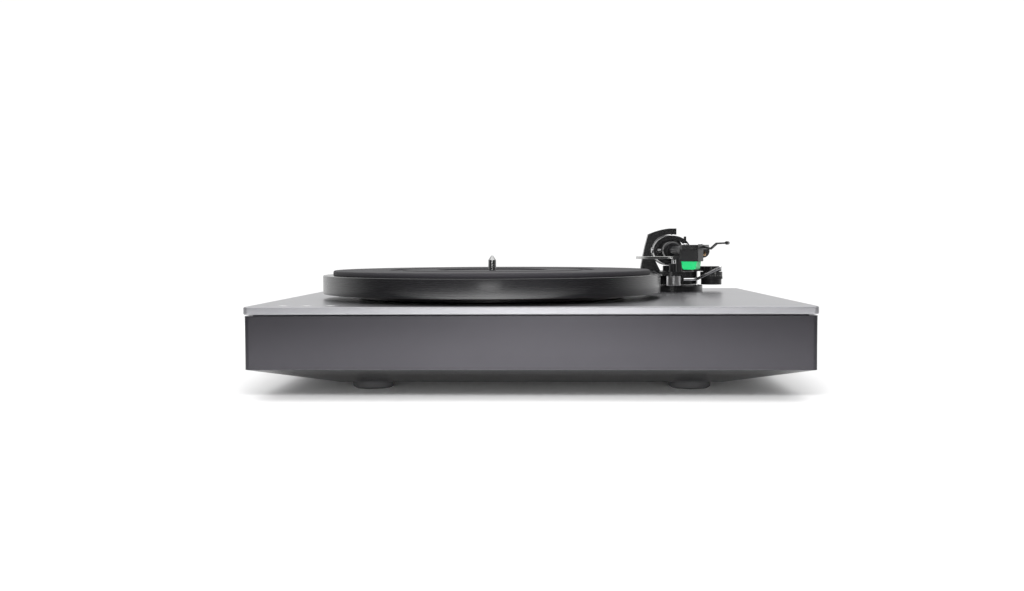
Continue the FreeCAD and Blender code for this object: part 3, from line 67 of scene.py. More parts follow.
camera_data = bpy.data.cameras.new("studio_camera")
camera_data.lens = camera_lens
camera_data.sensor_width = 36.0
camera_data.clip_start = 0.01
camera = bpy.data.objects.new("studio_camera", camera_data)
bpy.context.scene.collection.objects.link(camera)
camera.matrix_world = (Matrix.Translation(camera_place) @ Matrix.Rotation(camera_yaw, 4, "Z")
                       @ Matrix.Rotation(math.pi / 2 + camera_pitch, 4, "X")
                       @ Matrix.Rotation(camera_roll, 4, "Z"))
bpy.context.scene.camera = camera
bpy.context.scene.view_settings.view_transform = "Standard"


def softbox(name, place, aim, width, height, watts, mirrored=True):
    """Rectangular studio light that faces a point; one that isn't mirrored only fills shadows."""
    lamp = bpy.data.lights.new(name, "AREA")
    lamp.shape = "RECTANGLE"
    lamp.size, lamp.size_y, lamp.energy = width, height, watts
    light = bpy.data.objects.new(name, lamp)
    light.location = place
    light.rotation_euler = (aim - place).to_track_quat("-Z", "Y").to_euler()
    light.visible_camera = False
    light.visible_glossy = mirrored
    bpy.context.scene.collection.objects.link(light)


softbox("overhead_softbox", Vector((0.0, 0.15, 1.5)), Vector((0.0, 0.0, 0.0)), 1.9, 1.5, 8.0)
softbox("front_pool", Vector((0.0, -0.62, 0.28)), Vector((0.0, -0.60, 0.0)), 0.34, 0.16, 4.6, mirrored=False)
softbox("front_strip", Vector((0.0, -1.75, 0.10)), Vector((0.0, 0.0, 0.08)), 0.35, 0.16, 0.8)
softbox("floor_wash", Vector((0.0, 0.7, 1.1)), Vector((0.0, 0.5, 0.0)), 2.6, 0.7, 9.0, mirrored=False)
softbox("under_fill", Vector((0.0, -0.48, 0.035)), Vector((0.0, 0.0, 0.0)), 0.70, 0.05, 1.3, mirrored=False)
softbox("low_fill", Vector((0.0, -1.8, 0.45)), Vector((0.0, -0.1, 0.0)), 2.2, 0.8, 12.0, mirrored=False)


def add(tree, kind, inputs=None, **settings):
    """Adds a node; an input given as a socket is linked, any other is set."""
    node = tree.nodes.new(kind)
    for key, value in settings.items():
        setattr(node, key, value)
    for key, value in (inputs or {}).items():
        if isinstance(value, bpy.types.NodeSocket):
            tree.links.new(value, node.inputs[key])
        else:
            node.inputs[key].default_value = value
    return node


room = bpy.data.worlds.new("studio_room")
bpy.context.scene.world = room
room.use_nodes = True
tree = room.node_tree
tree.nodes.clear()
direction = add(tree, "ShaderNodeTexCoord").outputs["Generated"]
heading = add(tree, "ShaderNodeSeparateXYZ", {0: direction}).outputs
behind = add(tree, "ShaderNodeMapRange", {"Value": heading["Y"], "From Min": -0.25, "From Max": 0.55,
                                          "To Min": 0.04, "To Max": 0.92}, interpolation_type="SMOOTHSTEP")
above = add(tree, "ShaderNodeMapRange", {"Value": heading["Z"], "From Min": 0.08, "From Max": 0.85,
                                         "To Min": 0.04, "To Max": 0.9}, interpolation_type="SMOOTHSTEP")
glow = add(tree, "ShaderNodeMath", {0: behind.outputs["Result"], 1: above.outputs["Result"]},
           operation="MAXIMUM")
wall_light = add(tree, "ShaderNodeBackground", {"Color": (1, 1, 1, 1), "Strength": glow.outputs[0]})
white_wall = add(tree, "ShaderNodeBackground", {"Color": (1, 1, 1, 1), "Strength": 1.05})
seen = add(tree, "ShaderNodeMixShader", {0: add(tree, "ShaderNodeLightPath").outputs["Is Camera Ray"],
                                         1: wall_light.outputs[0], 2: white_wall.outputs[0]})
add(tree, "ShaderNodeOutputWorld", {"Surface": seen.outputs[0]})


def link(piece):
    """Puts an object into the scene."""
    bpy.context.scene.collection.objects.link(piece)
    return piece


def as_object(name, shape, *materials):
    """Object at the origin from a bmesh, with its materials."""
    mesh = bpy.data.meshes.new(name)
    shape.to_mesh(mesh)
    shape.free()
    for material in materials:
        mesh.materials.append(material)
    return link(bpy.data.objects.new(name, mesh))


table_paint = bpy.data.materials.new("table_paint")
table_paint.use_nodes = True
shader = table_paint.node_tree.nodes["Principled BSDF"]
shader.inputs["Base Color"].default_value = (0.9, 0.9, 0.9, 1)
shader.inputs["Roughness"].default_value = 0.8
shader.inputs["Specular IOR Level"].default_value = 0.2
shape = bmesh.new()
bmesh.ops.create_circle(shape, cap_ends=True, radius=table_radius, segments=96)
as_object("table_top", shape, table_paint)

# ---------------------------------------------------------------- feet and underside
# Four soft rubber feet, each held by one long cross-head screw that goes up through the plinth
# into the top plate. A thin black painted sheet-steel cover closes the opening between them.


def new_group(name, inputs, outputs):
    """Empty shader group with named inputs (name, kind, value) and named outputs (name, kind)."""
    group = bpy.data.node_groups.new(name, "ShaderNodeTree")
    for label, kind, value in inputs:
        socket = group.interface.new_socket(label, in_out="INPUT", socket_type=f"NodeSocket{kind}")
        if value is not None:
            socket.default_value = value
    for label, kind in outputs:
        group.interface.new_socket(label, in_out="OUTPUT", socket_type=f"NodeSocket{kind}")
    return group, add(group, "NodeGroupInput").outputs


def arithmetic(tree, operation, first, second):
    """Result of one Math node."""
    return add(tree, "ShaderNodeMath", {0: first, 1: second}, operation=operation).outputs[0]


def close_group(group, **results):
    """Wires the group's outputs, named with underscores for spaces."""
    add(group, "NodeGroupOutput", {key.replace("_", " "): value for key, value in results.items()})


# Fine grain with slow blotches: cast and moulded skins, paint, rubber, blasted metal.
grain, given = new_group(
    "fine_grain", [("Vector", "Vector", None), ("Grain Size", "Float", 0.001), ("Blotch Size", "Float", 0.05),
                   ("Colour", "Color", (0.5, 0.5, 0.5, 1)), ("Worn Colour", "Color", (0.6, 0.6, 0.6, 1)),
                   ("Roughness", "Float", 0.5), ("Spread", "Float", 0.1), ("Edge Width", "Float", 0.0004),
                   ("Edge Wear", "Float", 0.0)],
    [("Colour", "Color"), ("Roughness", "Float"), ("Height", "Float")])
fine = add(grain, "ShaderNodeTexNoise", {"Vector": given["Vector"], "Detail": 3.0, "Roughness": 0.6,
                                         "Scale": arithmetic(grain, "DIVIDE", 1.0, given["Grain Size"])})
slow = add(grain, "ShaderNodeTexNoise", {"Vector": given["Vector"], "Detail": 4.0, "Roughness": 0.65,
                                         "Scale": arithmetic(grain, "DIVIDE", 1.0, given["Blotch Size"])})
swing = arithmetic(grain, "SUBTRACT", slow.outputs["Fac"], 0.5)
rounded = add(grain, "ShaderNodeBevel", {"Radius": given["Edge Width"]}, samples=4)
flat = add(grain, "ShaderNodeNewGeometry").outputs["Normal"]
agree = add(grain, "ShaderNodeVectorMath", {0: rounded.outputs[0], 1: flat}, operation="DOT_PRODUCT")
edge = add(grain, "ShaderNodeMapRange", {"Value": agree.outputs["Value"], "From Min": 0.995, "From Max": 0.85,
                                         "To Min": 0.0, "To Max": 1.0})
ragged = arithmetic(grain, "MULTIPLY", edge.outputs["Result"],
                    arithmetic(grain, "MULTIPLY", slow.outputs["Fac"], 1.6))
worn = arithmetic(grain, "MULTIPLY", ragged, given["Edge Wear"])
mottled = arithmetic(grain, "ADD", worn, arithmetic(grain, "MULTIPLY", fine.outputs["Fac"], 0.12))
tint = add(grain, "ShaderNodeMix", {"Factor": mottled, 6: given["Colour"], 7: given["Worn Colour"]},
           data_type="RGBA")
rough = arithmetic(grain, "ADD", given["Roughness"], arithmetic(grain, "MULTIPLY", swing, given["Spread"]))
close_group(grain, Colour=tint.outputs[2], Roughness=rough, Height=fine.outputs["Fac"])


def finish(name, colour, worn, metallic, roughness, grain_size, depth, spread=0.1, blotch=0.05, wear=0.0,
           **sockets):
    """Material with the fine grain; colours are linear, sizes in metres."""
    material = bpy.data.materials.new(name)
    material.use_nodes = True
    tree = material.node_tree
    shader = tree.nodes["Principled BSDF"]
    place = add(tree, "ShaderNodeTexCoord").outputs["Object"]
    surface = add(tree, "ShaderNodeGroup", node_tree=grain)
    values = {"Grain Size": grain_size, "Blotch Size": blotch, "Colour": (*colour, 1),
              "Worn Colour": (*worn, 1), "Roughness": roughness, "Spread": spread, "Edge Wear": wear}
    for key, value in values.items():
        surface.inputs[key].default_value = value
    tree.links.new(place, surface.inputs["Vector"])
    bump = add(tree, "ShaderNodeBump", {"Height": surface.outputs["Height"], "Distance": depth,
                                        "Strength": 1.0})
    tree.links.new(surface.outputs["Colour"], shader.inputs["Base Color"])
    tree.links.new(surface.outputs["Roughness"], shader.inputs["Roughness"])
    tree.links.new(bump.outputs["Normal"], shader.inputs["Normal"])
    shader.inputs["Metallic"].default_value = metallic
    for key, value in sockets.items():
        shader.inputs[key.replace("_", " ")].default_value = value
    return material


def paint(material, *names):
    """Gives CAD nodes a material."""
    for name in names:
        for slot in nodes[name].material_slots:
            slot.material = material


def softened(name, node, material, width, body, slot, segments=3):
    """Copy of a CAD node with its sharp edges rounded to a real machining radius; stands for the node."""
    shape = bmesh.new()
    shape.from_mesh(nodes[node].data)
    bmesh.ops.remove_doubles(shape, verts=shape.verts, dist=mm(0.002))
    bmesh.ops.dissolve_limit(shape, angle_limit=math.radians(1.5), verts=shape.verts, edges=shape.edges)
    for face in shape.faces:
        face.smooth = True
        face.material_index = 0
    piece = as_object(name, shape, material)
    bevel = piece.modifiers.new("edges", "BEVEL")
    bevel.width, bevel.segments = width, segments
    bevel.limit_method, bevel.angle_limit = "ANGLE", math.radians(32)
    bevel.use_clamp_overlap = True
    piece.modifiers.new("shading", "WEIGHTED_NORMAL").keep_sharp = True
    return settle(piece, body, slot, node)


def settle(piece, body, slot, *replaced):
    """Rides a body and stands for CAD nodes; the slot is not used."""
    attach(piece, body)
    if replaced:
        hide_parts(*replaced)
    return piece


rubber = finish("foot_rubber", (0.05, 0.05, 0.052), (0.1, 0.1, 0.1), 0.0, 0.72, mm(0.5), mm(0.05))
cover_paint = finish("cover_paint", (0.02, 0.02, 0.022), (0.08, 0.08, 0.08), 0.0, 0.5, mm(0.7), mm(0.06),
                     wear=0.5)
paint(rubber, "feet")
softened("underside_cover", "base_cover", cover_paint, mm(0.4), "root", "cover")


def new_tree(name, inputs):
    """Empty Geometry Nodes tree with named inputs (name, kind, value)."""
    tree = bpy.data.node_groups.new(name, "GeometryNodeTree")
    tree.interface.new_socket("Geometry", in_out="INPUT", socket_type="NodeSocketGeometry")
    for label, kind, value in inputs:
        socket = tree.interface.new_socket(label, in_out="INPUT", socket_type=f"NodeSocket{kind}")
        if value is not None:
            socket.default_value = value
    tree.interface.new_socket("Geometry", in_out="OUTPUT", socket_type="NodeSocketGeometry")
    return tree, add(tree, "NodeGroupInput").outputs


def end_tree(tree, geometry, material):
    """Instances made real, with their material, as the tree's result."""
    real = add(tree, "GeometryNodeRealizeInstances", {0: geometry})
    painted = add(tree, "GeometryNodeSetMaterial", {"Geometry": real.outputs[0], "Material": material})
    add(tree, "NodeGroupOutput", {"Geometry": painted.outputs[0]})


def grown(name, tree, mesh, values, placed=Matrix()):
    """Plain object from what a tree grows on a mesh, put in its place."""
    base = link(bpy.data.objects.new(name, mesh))
    modifier = base.modifiers.new("growth", "NODES")
    modifier.node_group = tree
    for item in tree.interface.items_tree:
        if item.in_out == "INPUT" and item.name in values:
            modifier[item.identifier] = values[item.name]
    result = bpy.data.meshes.new_from_object(base.evaluated_get(bpy.context.evaluated_depsgraph_get()))
    base.modifiers.clear()
    result.transform(placed)
    base.data = result
    return base


# Screw: chamfered head with a cross or hexagon recess, and its shank, on every point of a mesh.
screws, given = new_tree("screws", [
    ("Head Radius", "Float", 0.003), ("Head Height", "Float", 0.002), ("Recess Radius", "Float", 0.0015),
    ("Recess Depth", "Float", 0.001), ("Hexagon", "Bool", False), ("Shank Radius", "Float", 0.0015),
    ("Shank Length", "Float", 0.01), ("Facing", "Vector", (0, 0, 0)), ("Seed", "Int", 1),
    ("Material", "Material", None)])


def steps(tree, operation, first, second):
    """Result of one Math node in a geometry tree."""
    return add(tree, "ShaderNodeMath", {0: first, 1: second}, operation=operation).outputs[0]


def triple(tree, x, y, z):
    """Vector from three values."""
    return add(tree, "ShaderNodeCombineXYZ", {0: x, 1: y, 2: z}).outputs[0]


half_head = steps(screws, "MULTIPLY", given["Head Height"], 0.5)
brim = add(screws, "GeometryNodeMeshCone", {
    "Vertices": 32, "Radius Bottom": given["Head Radius"], "Radius Top": given["Head Radius"],
    "Depth": half_head})
crown = add(screws, "GeometryNodeMeshCone", {
    "Vertices": 32, "Radius Bottom": given["Head Radius"], "Depth": half_head,
    "Radius Top": steps(screws, "MULTIPLY", given["Head Radius"], 0.72)})
raised = add(screws, "GeometryNodeTransform", {
    "Geometry": crown.outputs["Mesh"], "Translation": triple(screws, 0.0, 0.0, half_head)})
shank = add(screws, "GeometryNodeMeshCylinder", {
    "Vertices": 24, "Radius": given["Shank Radius"], "Depth": given["Shank Length"]})
hung = add(screws, "GeometryNodeTransform", {
    "Geometry": shank.outputs["Mesh"],
    "Translation": triple(screws, 0.0, 0.0, steps(screws, "MULTIPLY", given["Shank Length"], -0.5))})
whole = add(screws, "GeometryNodeMeshBoolean", operation="UNION", solver="EXACT")
for part in (brim.outputs["Mesh"], raised.outputs[0], hung.outputs[0]):
    screws.links.new(part, whole.inputs["Mesh 2"])
arm_width = steps(screws, "MULTIPLY", given["Recess Radius"], 0.42)
arm_length = steps(screws, "MULTIPLY", given["Recess Radius"], 2.0)
tall = steps(screws, "MULTIPLY", given["Recess Depth"], 2.0)
bar = add(screws, "GeometryNodeMeshCube", {"Size": triple(screws, arm_length, arm_width, tall)})
cross_bar = add(screws, "GeometryNodeMeshCube", {"Size": triple(screws, arm_width, arm_length, tall)})
cross = add(screws, "GeometryNodeMeshBoolean", operation="UNION", solver="EXACT")
for part in (bar.outputs["Mesh"], cross_bar.outputs["Mesh"]):
    screws.links.new(part, cross.inputs["Mesh 2"])
hexagon = add(screws, "GeometryNodeMeshCylinder", {
    "Vertices": 6, "Radius": given["Recess Radius"], "Depth": tall})
recess = add(screws, "GeometryNodeSwitch", {
    "Switch": given["Hexagon"], "False": cross.outputs[0], "True": hexagon.outputs["Mesh"]},
    input_type="GEOMETRY")
tool = add(screws, "GeometryNodeTransform", {
    "Geometry": recess.outputs[0], "Translation": triple(screws, 0.0, 0.0, given["Head Height"])})
head = add(screws, "GeometryNodeMeshBoolean", {"Mesh 1": whole.outputs[0], "Mesh 2": tool.outputs[0]},
           operation="DIFFERENCE", solver="EXACT")
turned_by = add(screws, "FunctionNodeRandomValue", {2: 0.0, 3: math.tau, "Seed": given["Seed"]},
                data_type="FLOAT")
seated = add(screws, "GeometryNodeInstanceOnPoints", {
    "Points": given["Geometry"], "Instance": head.outputs[0], "Rotation": given["Facing"]})
spun = add(screws, "GeometryNodeRotateInstances", {
    "Instances": seated.outputs[0], "Rotation": triple(screws, 0.0, 0.0, turned_by.outputs[1])})
end_tree(screws, spun.outputs[0], given["Material"])


def screw_set(name, node, places, values, body, slot, material):
    """Screws with their head seats at the given places; they stand for the CAD node."""
    seats = bpy.data.meshes.new(name)
    seats.from_pydata(places, [], [])
    piece = grown(name, screws, seats, {**values, "Material": material})
    return settle(piece, body, slot, node)


def solids_of(node):
    """Box (lowest, highest) of each separate solid of a CAD node, from left to right."""
    shape = bmesh.new()
    shape.from_mesh(nodes[node].data)
    bmesh.ops.remove_doubles(shape, verts=shape.verts, dist=mm(0.002))
    waiting = set(shape.verts)
    boxes = []
    while waiting:
        reached = {waiting.pop()}
        unvisited = list(reached)
        while unvisited:
            vertex = unvisited.pop()
            for edge in vertex.link_edges:
                other = edge.other_vert(vertex)
                if other not in reached:
                    reached.add(other)
                    unvisited.append(other)
        waiting -= reached
        boxes.append((Vector([min(v.co[i] for v in reached) for i in range(3)]),
                      Vector([max(v.co[i] for v in reached) for i in range(3)])))
    shape.free()
    return sorted(boxes, key=lambda box: (round(box[0].x, 5), round(box[0].y, 5)))


zinc = finish("zinc_plated_steel", (0.55, 0.55, 0.53), (0.7, 0.7, 0.68), 1.0, 0.32, mm(0.3), mm(0.01),
              wear=0.4)
for label, node, head, head_high, shank_radius in (("foot_fixings", "foot_screws", 4.5, mm(3.0), 2.0),
                                                   ("cover_fixings", "base_cover_screws", 3.0, mm(1.2), 1.5)):
    boxes = solids_of(node)
    seats = [((low.x + high.x) / 2, (low.y + high.y) / 2, low.z + head_high) for low, high in boxes]
    values = {"Head Radius": mm(head), "Head Height": head_high, "Recess Radius": mm(head * 0.6),
              "Recess Depth": head_high * 0.55, "Shank Radius": mm(shank_radius), "Facing": (math.pi, 0, 0),
              "Shank Length": boxes[0][1].z - boxes[0][0].z - head_high, "Seed": 3}
    screw_set(label, node, seats, values, "root", "steel", zinc)

# ---------------------------------------------------------------- plinth
# A heavy one-piece plinth of moulded composite, satin painted dark grey. Its floor slopes in below
# the upright face so that the case seems to float, and a rebate leaves a shadow gap under the plate.

plinth_paint = finish("plinth_paint", (0.036, 0.0345, 0.039), (0.12, 0.115, 0.13), 0.80, 0.23, mm(0.45),
                      mm(0.012), spread=0.06, blotch=0.09, wear=0.35)
softened("plinth_case", "plinth", plinth_paint, mm(0.6), "root", "plinth")

# ---------------------------------------------------------------- rear connections
# A painted steel panel sits in a recess of the plinth's back with two gold plated signal sockets,
# a ground post with its knurled nut, a slide switch, the mains inlet and the power rocker.

panel_paint = finish("panel_paint", (0.024, 0.024, 0.026), (0.1, 0.1, 0.1), 0.0, 0.42, mm(0.6), mm(0.03),
                     wear=0.4)
moulding = finish("black_moulding", (0.014, 0.014, 0.015), (0.05, 0.05, 0.05), 0.0, 0.4, mm(0.4), mm(0.03),
                  wear=0.3)
gold = finish("gold_plate", (0.83, 0.55, 0.19), (0.9, 0.66, 0.32), 1.0, 0.2, mm(0.4), mm(0.004))
softened("rear_panel", "connector_panel", panel_paint, mm(0.2), "root", "black_metal")
softened("inlet_shroud", "mains_inlet", moulding, mm(0.5), "root", "moulding")
softened("rocker_paddle", "power_rocker", moulding, mm(0.4), "rocker", "moulding")
softened("switch_slider", "output_switch", moulding, mm(0.3), "output_slider", "moulding")
paint(gold, "signal_jacks", "ground_post")

# Bars set around an axis: knurling, ribs and scale marks.
bars, given = new_tree("bars_around", [
    ("Count", "Int", 60), ("Radius", "Float", 0.01), ("Start", "Float", 0.0), ("Sweep", "Float", math.tau),
    ("Across", "Float", 0.0005), ("Proud", "Float", 0.0005), ("Along", "Float", 0.01),
    ("Twist", "Float", 0.0), ("Long Every", "Int", 1), ("Short Share", "Float", 1.0),
    ("Material", "Material", None)])
number = add(bars, "GeometryNodeInputIndex").outputs[0]
angle = steps(bars, "ADD", given["Start"],
              steps(bars, "MULTIPLY", given["Sweep"], steps(bars, "DIVIDE", number, given["Count"])))
spot = triple(bars, steps(bars, "MULTIPLY", given["Radius"], steps(bars, "COSINE", angle, 0.0)),
              steps(bars, "MULTIPLY", given["Radius"], steps(bars, "SINE", angle, 0.0)), 0.0)
spots = add(bars, "GeometryNodePoints", {"Count": given["Count"], "Position": spot})
cube = add(bars, "GeometryNodeMeshCube", {"Size": (1, 1, 1)})
twisted = add(bars, "GeometryNodeTransform", {"Geometry": cube.outputs["Mesh"],
                                              "Rotation": triple(bars, 0.0, 0.0, given["Twist"])})
place_in_cycle = steps(bars, "MODULO", number, given["Long Every"])
is_short = steps(bars, "GREATER_THAN", place_in_cycle, 0.5)
share = steps(bars, "SUBTRACT", 1.0,
              steps(bars, "MULTIPLY", is_short, steps(bars, "SUBTRACT", 1.0, given["Short Share"])))
set_bars = add(bars, "GeometryNodeInstanceOnPoints", {
    "Points": spots.outputs[0], "Instance": twisted.outputs[0], "Rotation": triple(bars, 0.0, 0.0, angle),
    "Scale": triple(bars, given["Proud"], given["Across"], steps(bars, "MULTIPLY", given["Along"], share))})
end_tree(bars, set_bars.outputs[0], given["Material"])


def about(centre, axis):
    """Matrix that takes +Z to an axis through a centre."""
    return Matrix.Translation(centre) @ Vector(axis).to_track_quat("Z", "Y").to_matrix().to_4x4()


def ring_of_bars(name, values, placed, material, body, slot):
    """Bars around an axis, as a piece of their own on a body."""
    piece = grown(name, bars, bpy.data.meshes.new(name), {**values, "Material": material}, placed)
    return settle(piece, body, slot)


def middle_of(node):
    """Middle of a CAD node's box."""
    low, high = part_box(node)
    return (low + high) / 2


nut_low, nut_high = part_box("ground_nut")
nut_radius = (nut_high.x - nut_low.x) / 2
knurl_centre = (nut_low + nut_high) / 2
knurl_centre.y = nut_low.y + mm(2.6)
paint(gold, "ground_nut")
ring_of_bars("nut_knurling", {"Count": 36, "Radius": nut_radius - mm(0.15), "Across": mm(0.55),
                              "Proud": mm(0.5), "Along": mm(4.2)},
             about(knurl_centre, (0, 1, 0)), gold, "nut", "gold")
panel_head = mm(1.6)
screw_set("panel_fixings", "panel_screws",
          [((low.x + high.x) / 2, high.y - panel_head, (low.z + high.z) / 2)
           for low, high in solids_of("panel_screws")],
          {"Head Radius": mm(2.4), "Head Height": panel_head, "Recess Radius": mm(1.5),
           "Recess Depth": mm(0.9),
           "Shank Radius": mm(1.2), "Shank Length": mm(6.0), "Facing": (-math.pi / 2, 0, 0), "Seed": 5},
          "root", "steel", zinc)

# ---------------------------------------------------------------- top plate and buttons
# A thick aluminium plate, bead blasted and clear anodised, with a bright cut chamfer all round. It
# is pulled down by the foot screws. Three aluminium buttons with turned faces sit flush in it.

blasted = finish("blasted_aluminium", (0.300, 0.299, 0.314), (0.66, 0.66, 0.68), 0.90, 0.30, mm(0.22),
                 mm(0.012), spread=0.05, blotch=0.12, wear=0.8)
softened("face_plate", "top_plate", blasted, mm(0.15), "root", "plate", 2)

# Fine rings around an axis, as a lathe leaves them; the axis is the vector's Z.
lathe_lines, given = new_group("lathe_lines", [("Vector", "Vector", None), ("Pitch", "Float", 0.0003)],
                               [("Height", "Float"), ("Shade", "Float")])
part_of = add(lathe_lines, "ShaderNodeSeparateXYZ", {0: given["Vector"]}).outputs
x_squared = arithmetic(lathe_lines, "MULTIPLY", part_of["X"], part_of["X"])
y_squared = arithmetic(lathe_lines, "MULTIPLY", part_of["Y"], part_of["Y"])
across = arithmetic(lathe_lines, "SQRT", arithmetic(lathe_lines, "ADD", x_squared, y_squared), 0.0)
ring = arithmetic(lathe_lines, "DIVIDE", across, given["Pitch"])
level = arithmetic(lathe_lines, "DIVIDE", part_of["Z"], given["Pitch"])
bearing_angle = arithmetic(lathe_lines, "ARCTAN2", part_of["Y"], part_of["X"])
lines = add(lathe_lines, "ShaderNodeTexNoise", {
    "Vector": add(lathe_lines, "ShaderNodeCombineXYZ", {
        0: ring, 1: level, 2: arithmetic(lathe_lines, "COSINE", bearing_angle, 0.0)}).outputs[0],
    "Scale": 1.0, "Detail": 2.0})
close_group(lathe_lines, Height=lines.outputs["Fac"], Shade=lines.outputs["Fac"])


def turned_finish(name, colour, metallic, roughness, centre, axis, pitch, depth, spread=0.12, **sockets):
    """Material of a piece turned on a lathe about an axis; the rings follow that axis."""
    material = bpy.data.materials.new(name)
    material.use_nodes = True
    tree = material.node_tree
    shader = tree.nodes["Principled BSDF"]
    turn = Vector(axis).to_track_quat("Z", "Y").inverted()
    mapped = add(tree, "ShaderNodeMapping", {
        "Vector": add(tree, "ShaderNodeTexCoord").outputs["Object"], "Rotation": turn.to_euler(),
        "Location": -(turn @ Vector(centre))})
    rings = add(tree, "ShaderNodeGroup", node_tree=lathe_lines)
    rings.inputs["Pitch"].default_value = pitch
    tree.links.new(mapped.outputs[0], rings.inputs["Vector"])
    bump = add(tree, "ShaderNodeBump", {"Height": rings.outputs["Height"], "Distance": depth})
    dark = tuple(0.82 * part for part in colour)
    tint = add(tree, "ShaderNodeMix", {"Factor": rings.outputs["Shade"], 6: (*dark, 1), 7: (*colour, 1)},
               data_type="RGBA")
    rough = add(tree, "ShaderNodeMapRange", {"Value": rings.outputs["Shade"],
                                             "To Min": roughness - spread / 2,
                                             "To Max": roughness + spread / 2})
    tree.links.new(tint.outputs[2], shader.inputs["Base Color"])
    tree.links.new(rough.outputs["Result"], shader.inputs["Roughness"])
    tree.links.new(bump.outputs["Normal"], shader.inputs["Normal"])
    shader.inputs["Metallic"].default_value = metallic
    for key, value in sockets.items():
        shader.inputs[key.replace("_", " ")].default_value = value
    return material


def lathe(name, centre, axis, profile, rings, *materials):
    """Closed turned shape: profile points (radius, height) about an axis through a centre, in metres."""
    shape = bmesh.new()
    loops = []
    for radius, height in profile:
        if radius == 0:
            loops.append([shape.verts.new((0, 0, height))])
        else:
            loops.append([shape.verts.new((radius * math.cos(math.tau * step / rings),
                                           radius * math.sin(math.tau * step / rings), height))
                          for step in range(rings)])
    hollow = profile[0][0] > 0 and profile[-1][0] > 0
    pairs = list(zip(loops, loops[1:])) + ([(loops[-1], loops[0])] if hollow else [])
    for first, second in pairs:
        for step in range(rings):
            corners = []
            for loop, index in ((first, step), (first, step + 1), (second, step + 1), (second, step)):
                vertex = loop[index % len(loop)]
                if vertex not in corners:
                    corners.append(vertex)
            if len(corners) > 2:
                shape.faces.new(corners).smooth = True
    bmesh.ops.recalc_face_normals(shape, faces=shape.faces)
    shape.transform(about(centre, axis))
    sharp = math.radians(25)
    for edge in shape.edges:
        if len(edge.link_faces) == 2 and edge.calc_face_angle() > sharp:
            edge.smooth = False
    return as_object(name, shape, *materials)


def rounding(radius, height, size, first, last, steps_in=5):
    """Points of a rounded corner of a profile, between two angles in quarter turns."""
    turns = [(first + (last - first) * step / steps_in) * math.pi / 2 for step in range(steps_in + 1)]
    return [(radius + size * math.cos(turn), height + size * math.sin(turn)) for turn in turns]


cap, flange = mm(4.8), mm(6.0)
flange_high, bevel_size, rim_width = mm(2.5), mm(0.45), mm(1.0)
for label, body in (("stop_button", "stop_key"), ("low_speed_button", "low_speed_key"),
                    ("high_speed_button", "high_speed_key")):
    low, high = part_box(label)
    middle = middle_of(label)
    middle.z = 0.0
    face = turned_finish(label + "_face", (0.78, 0.78, 0.79), 1.0, 0.24, middle, (0, 0, 1), mm(0.12),
                         mm(0.01))
    outside = [(0, low.z), (flange, low.z), (flange, low.z + flange_high), (cap, low.z + flange_high),
               (cap, high.z - bevel_size), (cap - mm(0.15), high.z - mm(0.12)), (cap - bevel_size, high.z)]
    dished = [(cap - rim_width, high.z), (cap - rim_width - mm(0.2), high.z - mm(0.12)),
              (cap / 2, high.z - mm(0.22)), (0, high.z - mm(0.26))]
    piece = lathe(label + "_cap", middle, (0, 0, 1), outside + dished, 72, face)
    settle(piece, body, "plate", label)

# ---------------------------------------------------------------- motor
# A direct drive motor: a cast dish screwed under the plate holds the bearing, a board with nine flat
# wound coils, and above them a ring magnet on the flange of the rotor disc.

platter_centre = middle_of("spindle")
platter_centre.z = 0.0
cast = finish("dish_casting", (0.12, 0.12, 0.125), (0.3, 0.3, 0.3), 0.6, 0.5, mm(0.8), mm(0.06), wear=0.5)
steel = turned_finish("turned_steel", (0.62, 0.62, 0.61), 1.0, 0.22, platter_centre, (0, 0, 1), mm(0.15),
                      mm(0.006))
bronze = turned_finish("bearing_bronze", (0.55, 0.33, 0.14), 1.0, 0.35, platter_centre, (0, 0, 1), mm(0.2),
                       mm(0.01))
paint(cast, "motor_dish")
paint(steel, "bearing_housing")
paint(bronze, "bearing_bush")
paint(moulding, "thrust_pad")
ferrite = finish("magnet_ferrite", (0.045, 0.045, 0.05), (0.1, 0.1, 0.1), 0.2, 0.6, mm(0.5), mm(0.03))
paint(ferrite, "rotor_magnet")
rotor_black = turned_finish("rotor_enamel", (0.014, 0.014, 0.015), 0.0, 0.4, platter_centre, (0, 0, 1),
                            mm(0.3), mm(0.02))
paint(rotor_black, "rotor_disc")
motor_head = mm(1.8)
screw_set("dish_fixings", "motor_screws",
          [((low.x + high.x) / 2, (low.y + high.y) / 2, high.z - motor_head)
           for low, high in solids_of("motor_screws")],
          {"Head Radius": mm(3.4), "Head Height": motor_head, "Recess Radius": mm(2.0),
           "Recess Depth": mm(1.0),
           "Shank Radius": mm(2.0), "Shank Length": mm(7.2), "Seed": 7}, "root", "steel", zinc)

# Coils of enamelled copper wire, green circuit boards and the transformer's stacked core.
copper = finish("winding_copper", (0.50, 0.16, 0.05), (0.7, 0.3, 0.12), 1.0, 0.3, mm(0.25), mm(0.03))
paint(copper, "drive_coils")
board_green = finish("board_green", (0.012, 0.07, 0.03), (0.03, 0.12, 0.06), 0.0, 0.35, mm(0.5), mm(0.02))
paint(board_green, "stator_board", "control_board", "button_board")
core_steel = finish("core_laminations", (0.16, 0.16, 0.17), (0.3, 0.3, 0.3), 0.8, 0.5, mm(0.5), mm(0.05))
paint(core_steel, "transformer")

# ---------------------------------------------------------------- platter, mat and spindle
# The platter is a die-cast aluminium disc, turned all over and enamelled satin black. A smooth rubber
# mat with one broad groove and a sunk label area lies on it; the polished spindle stands in its hub.

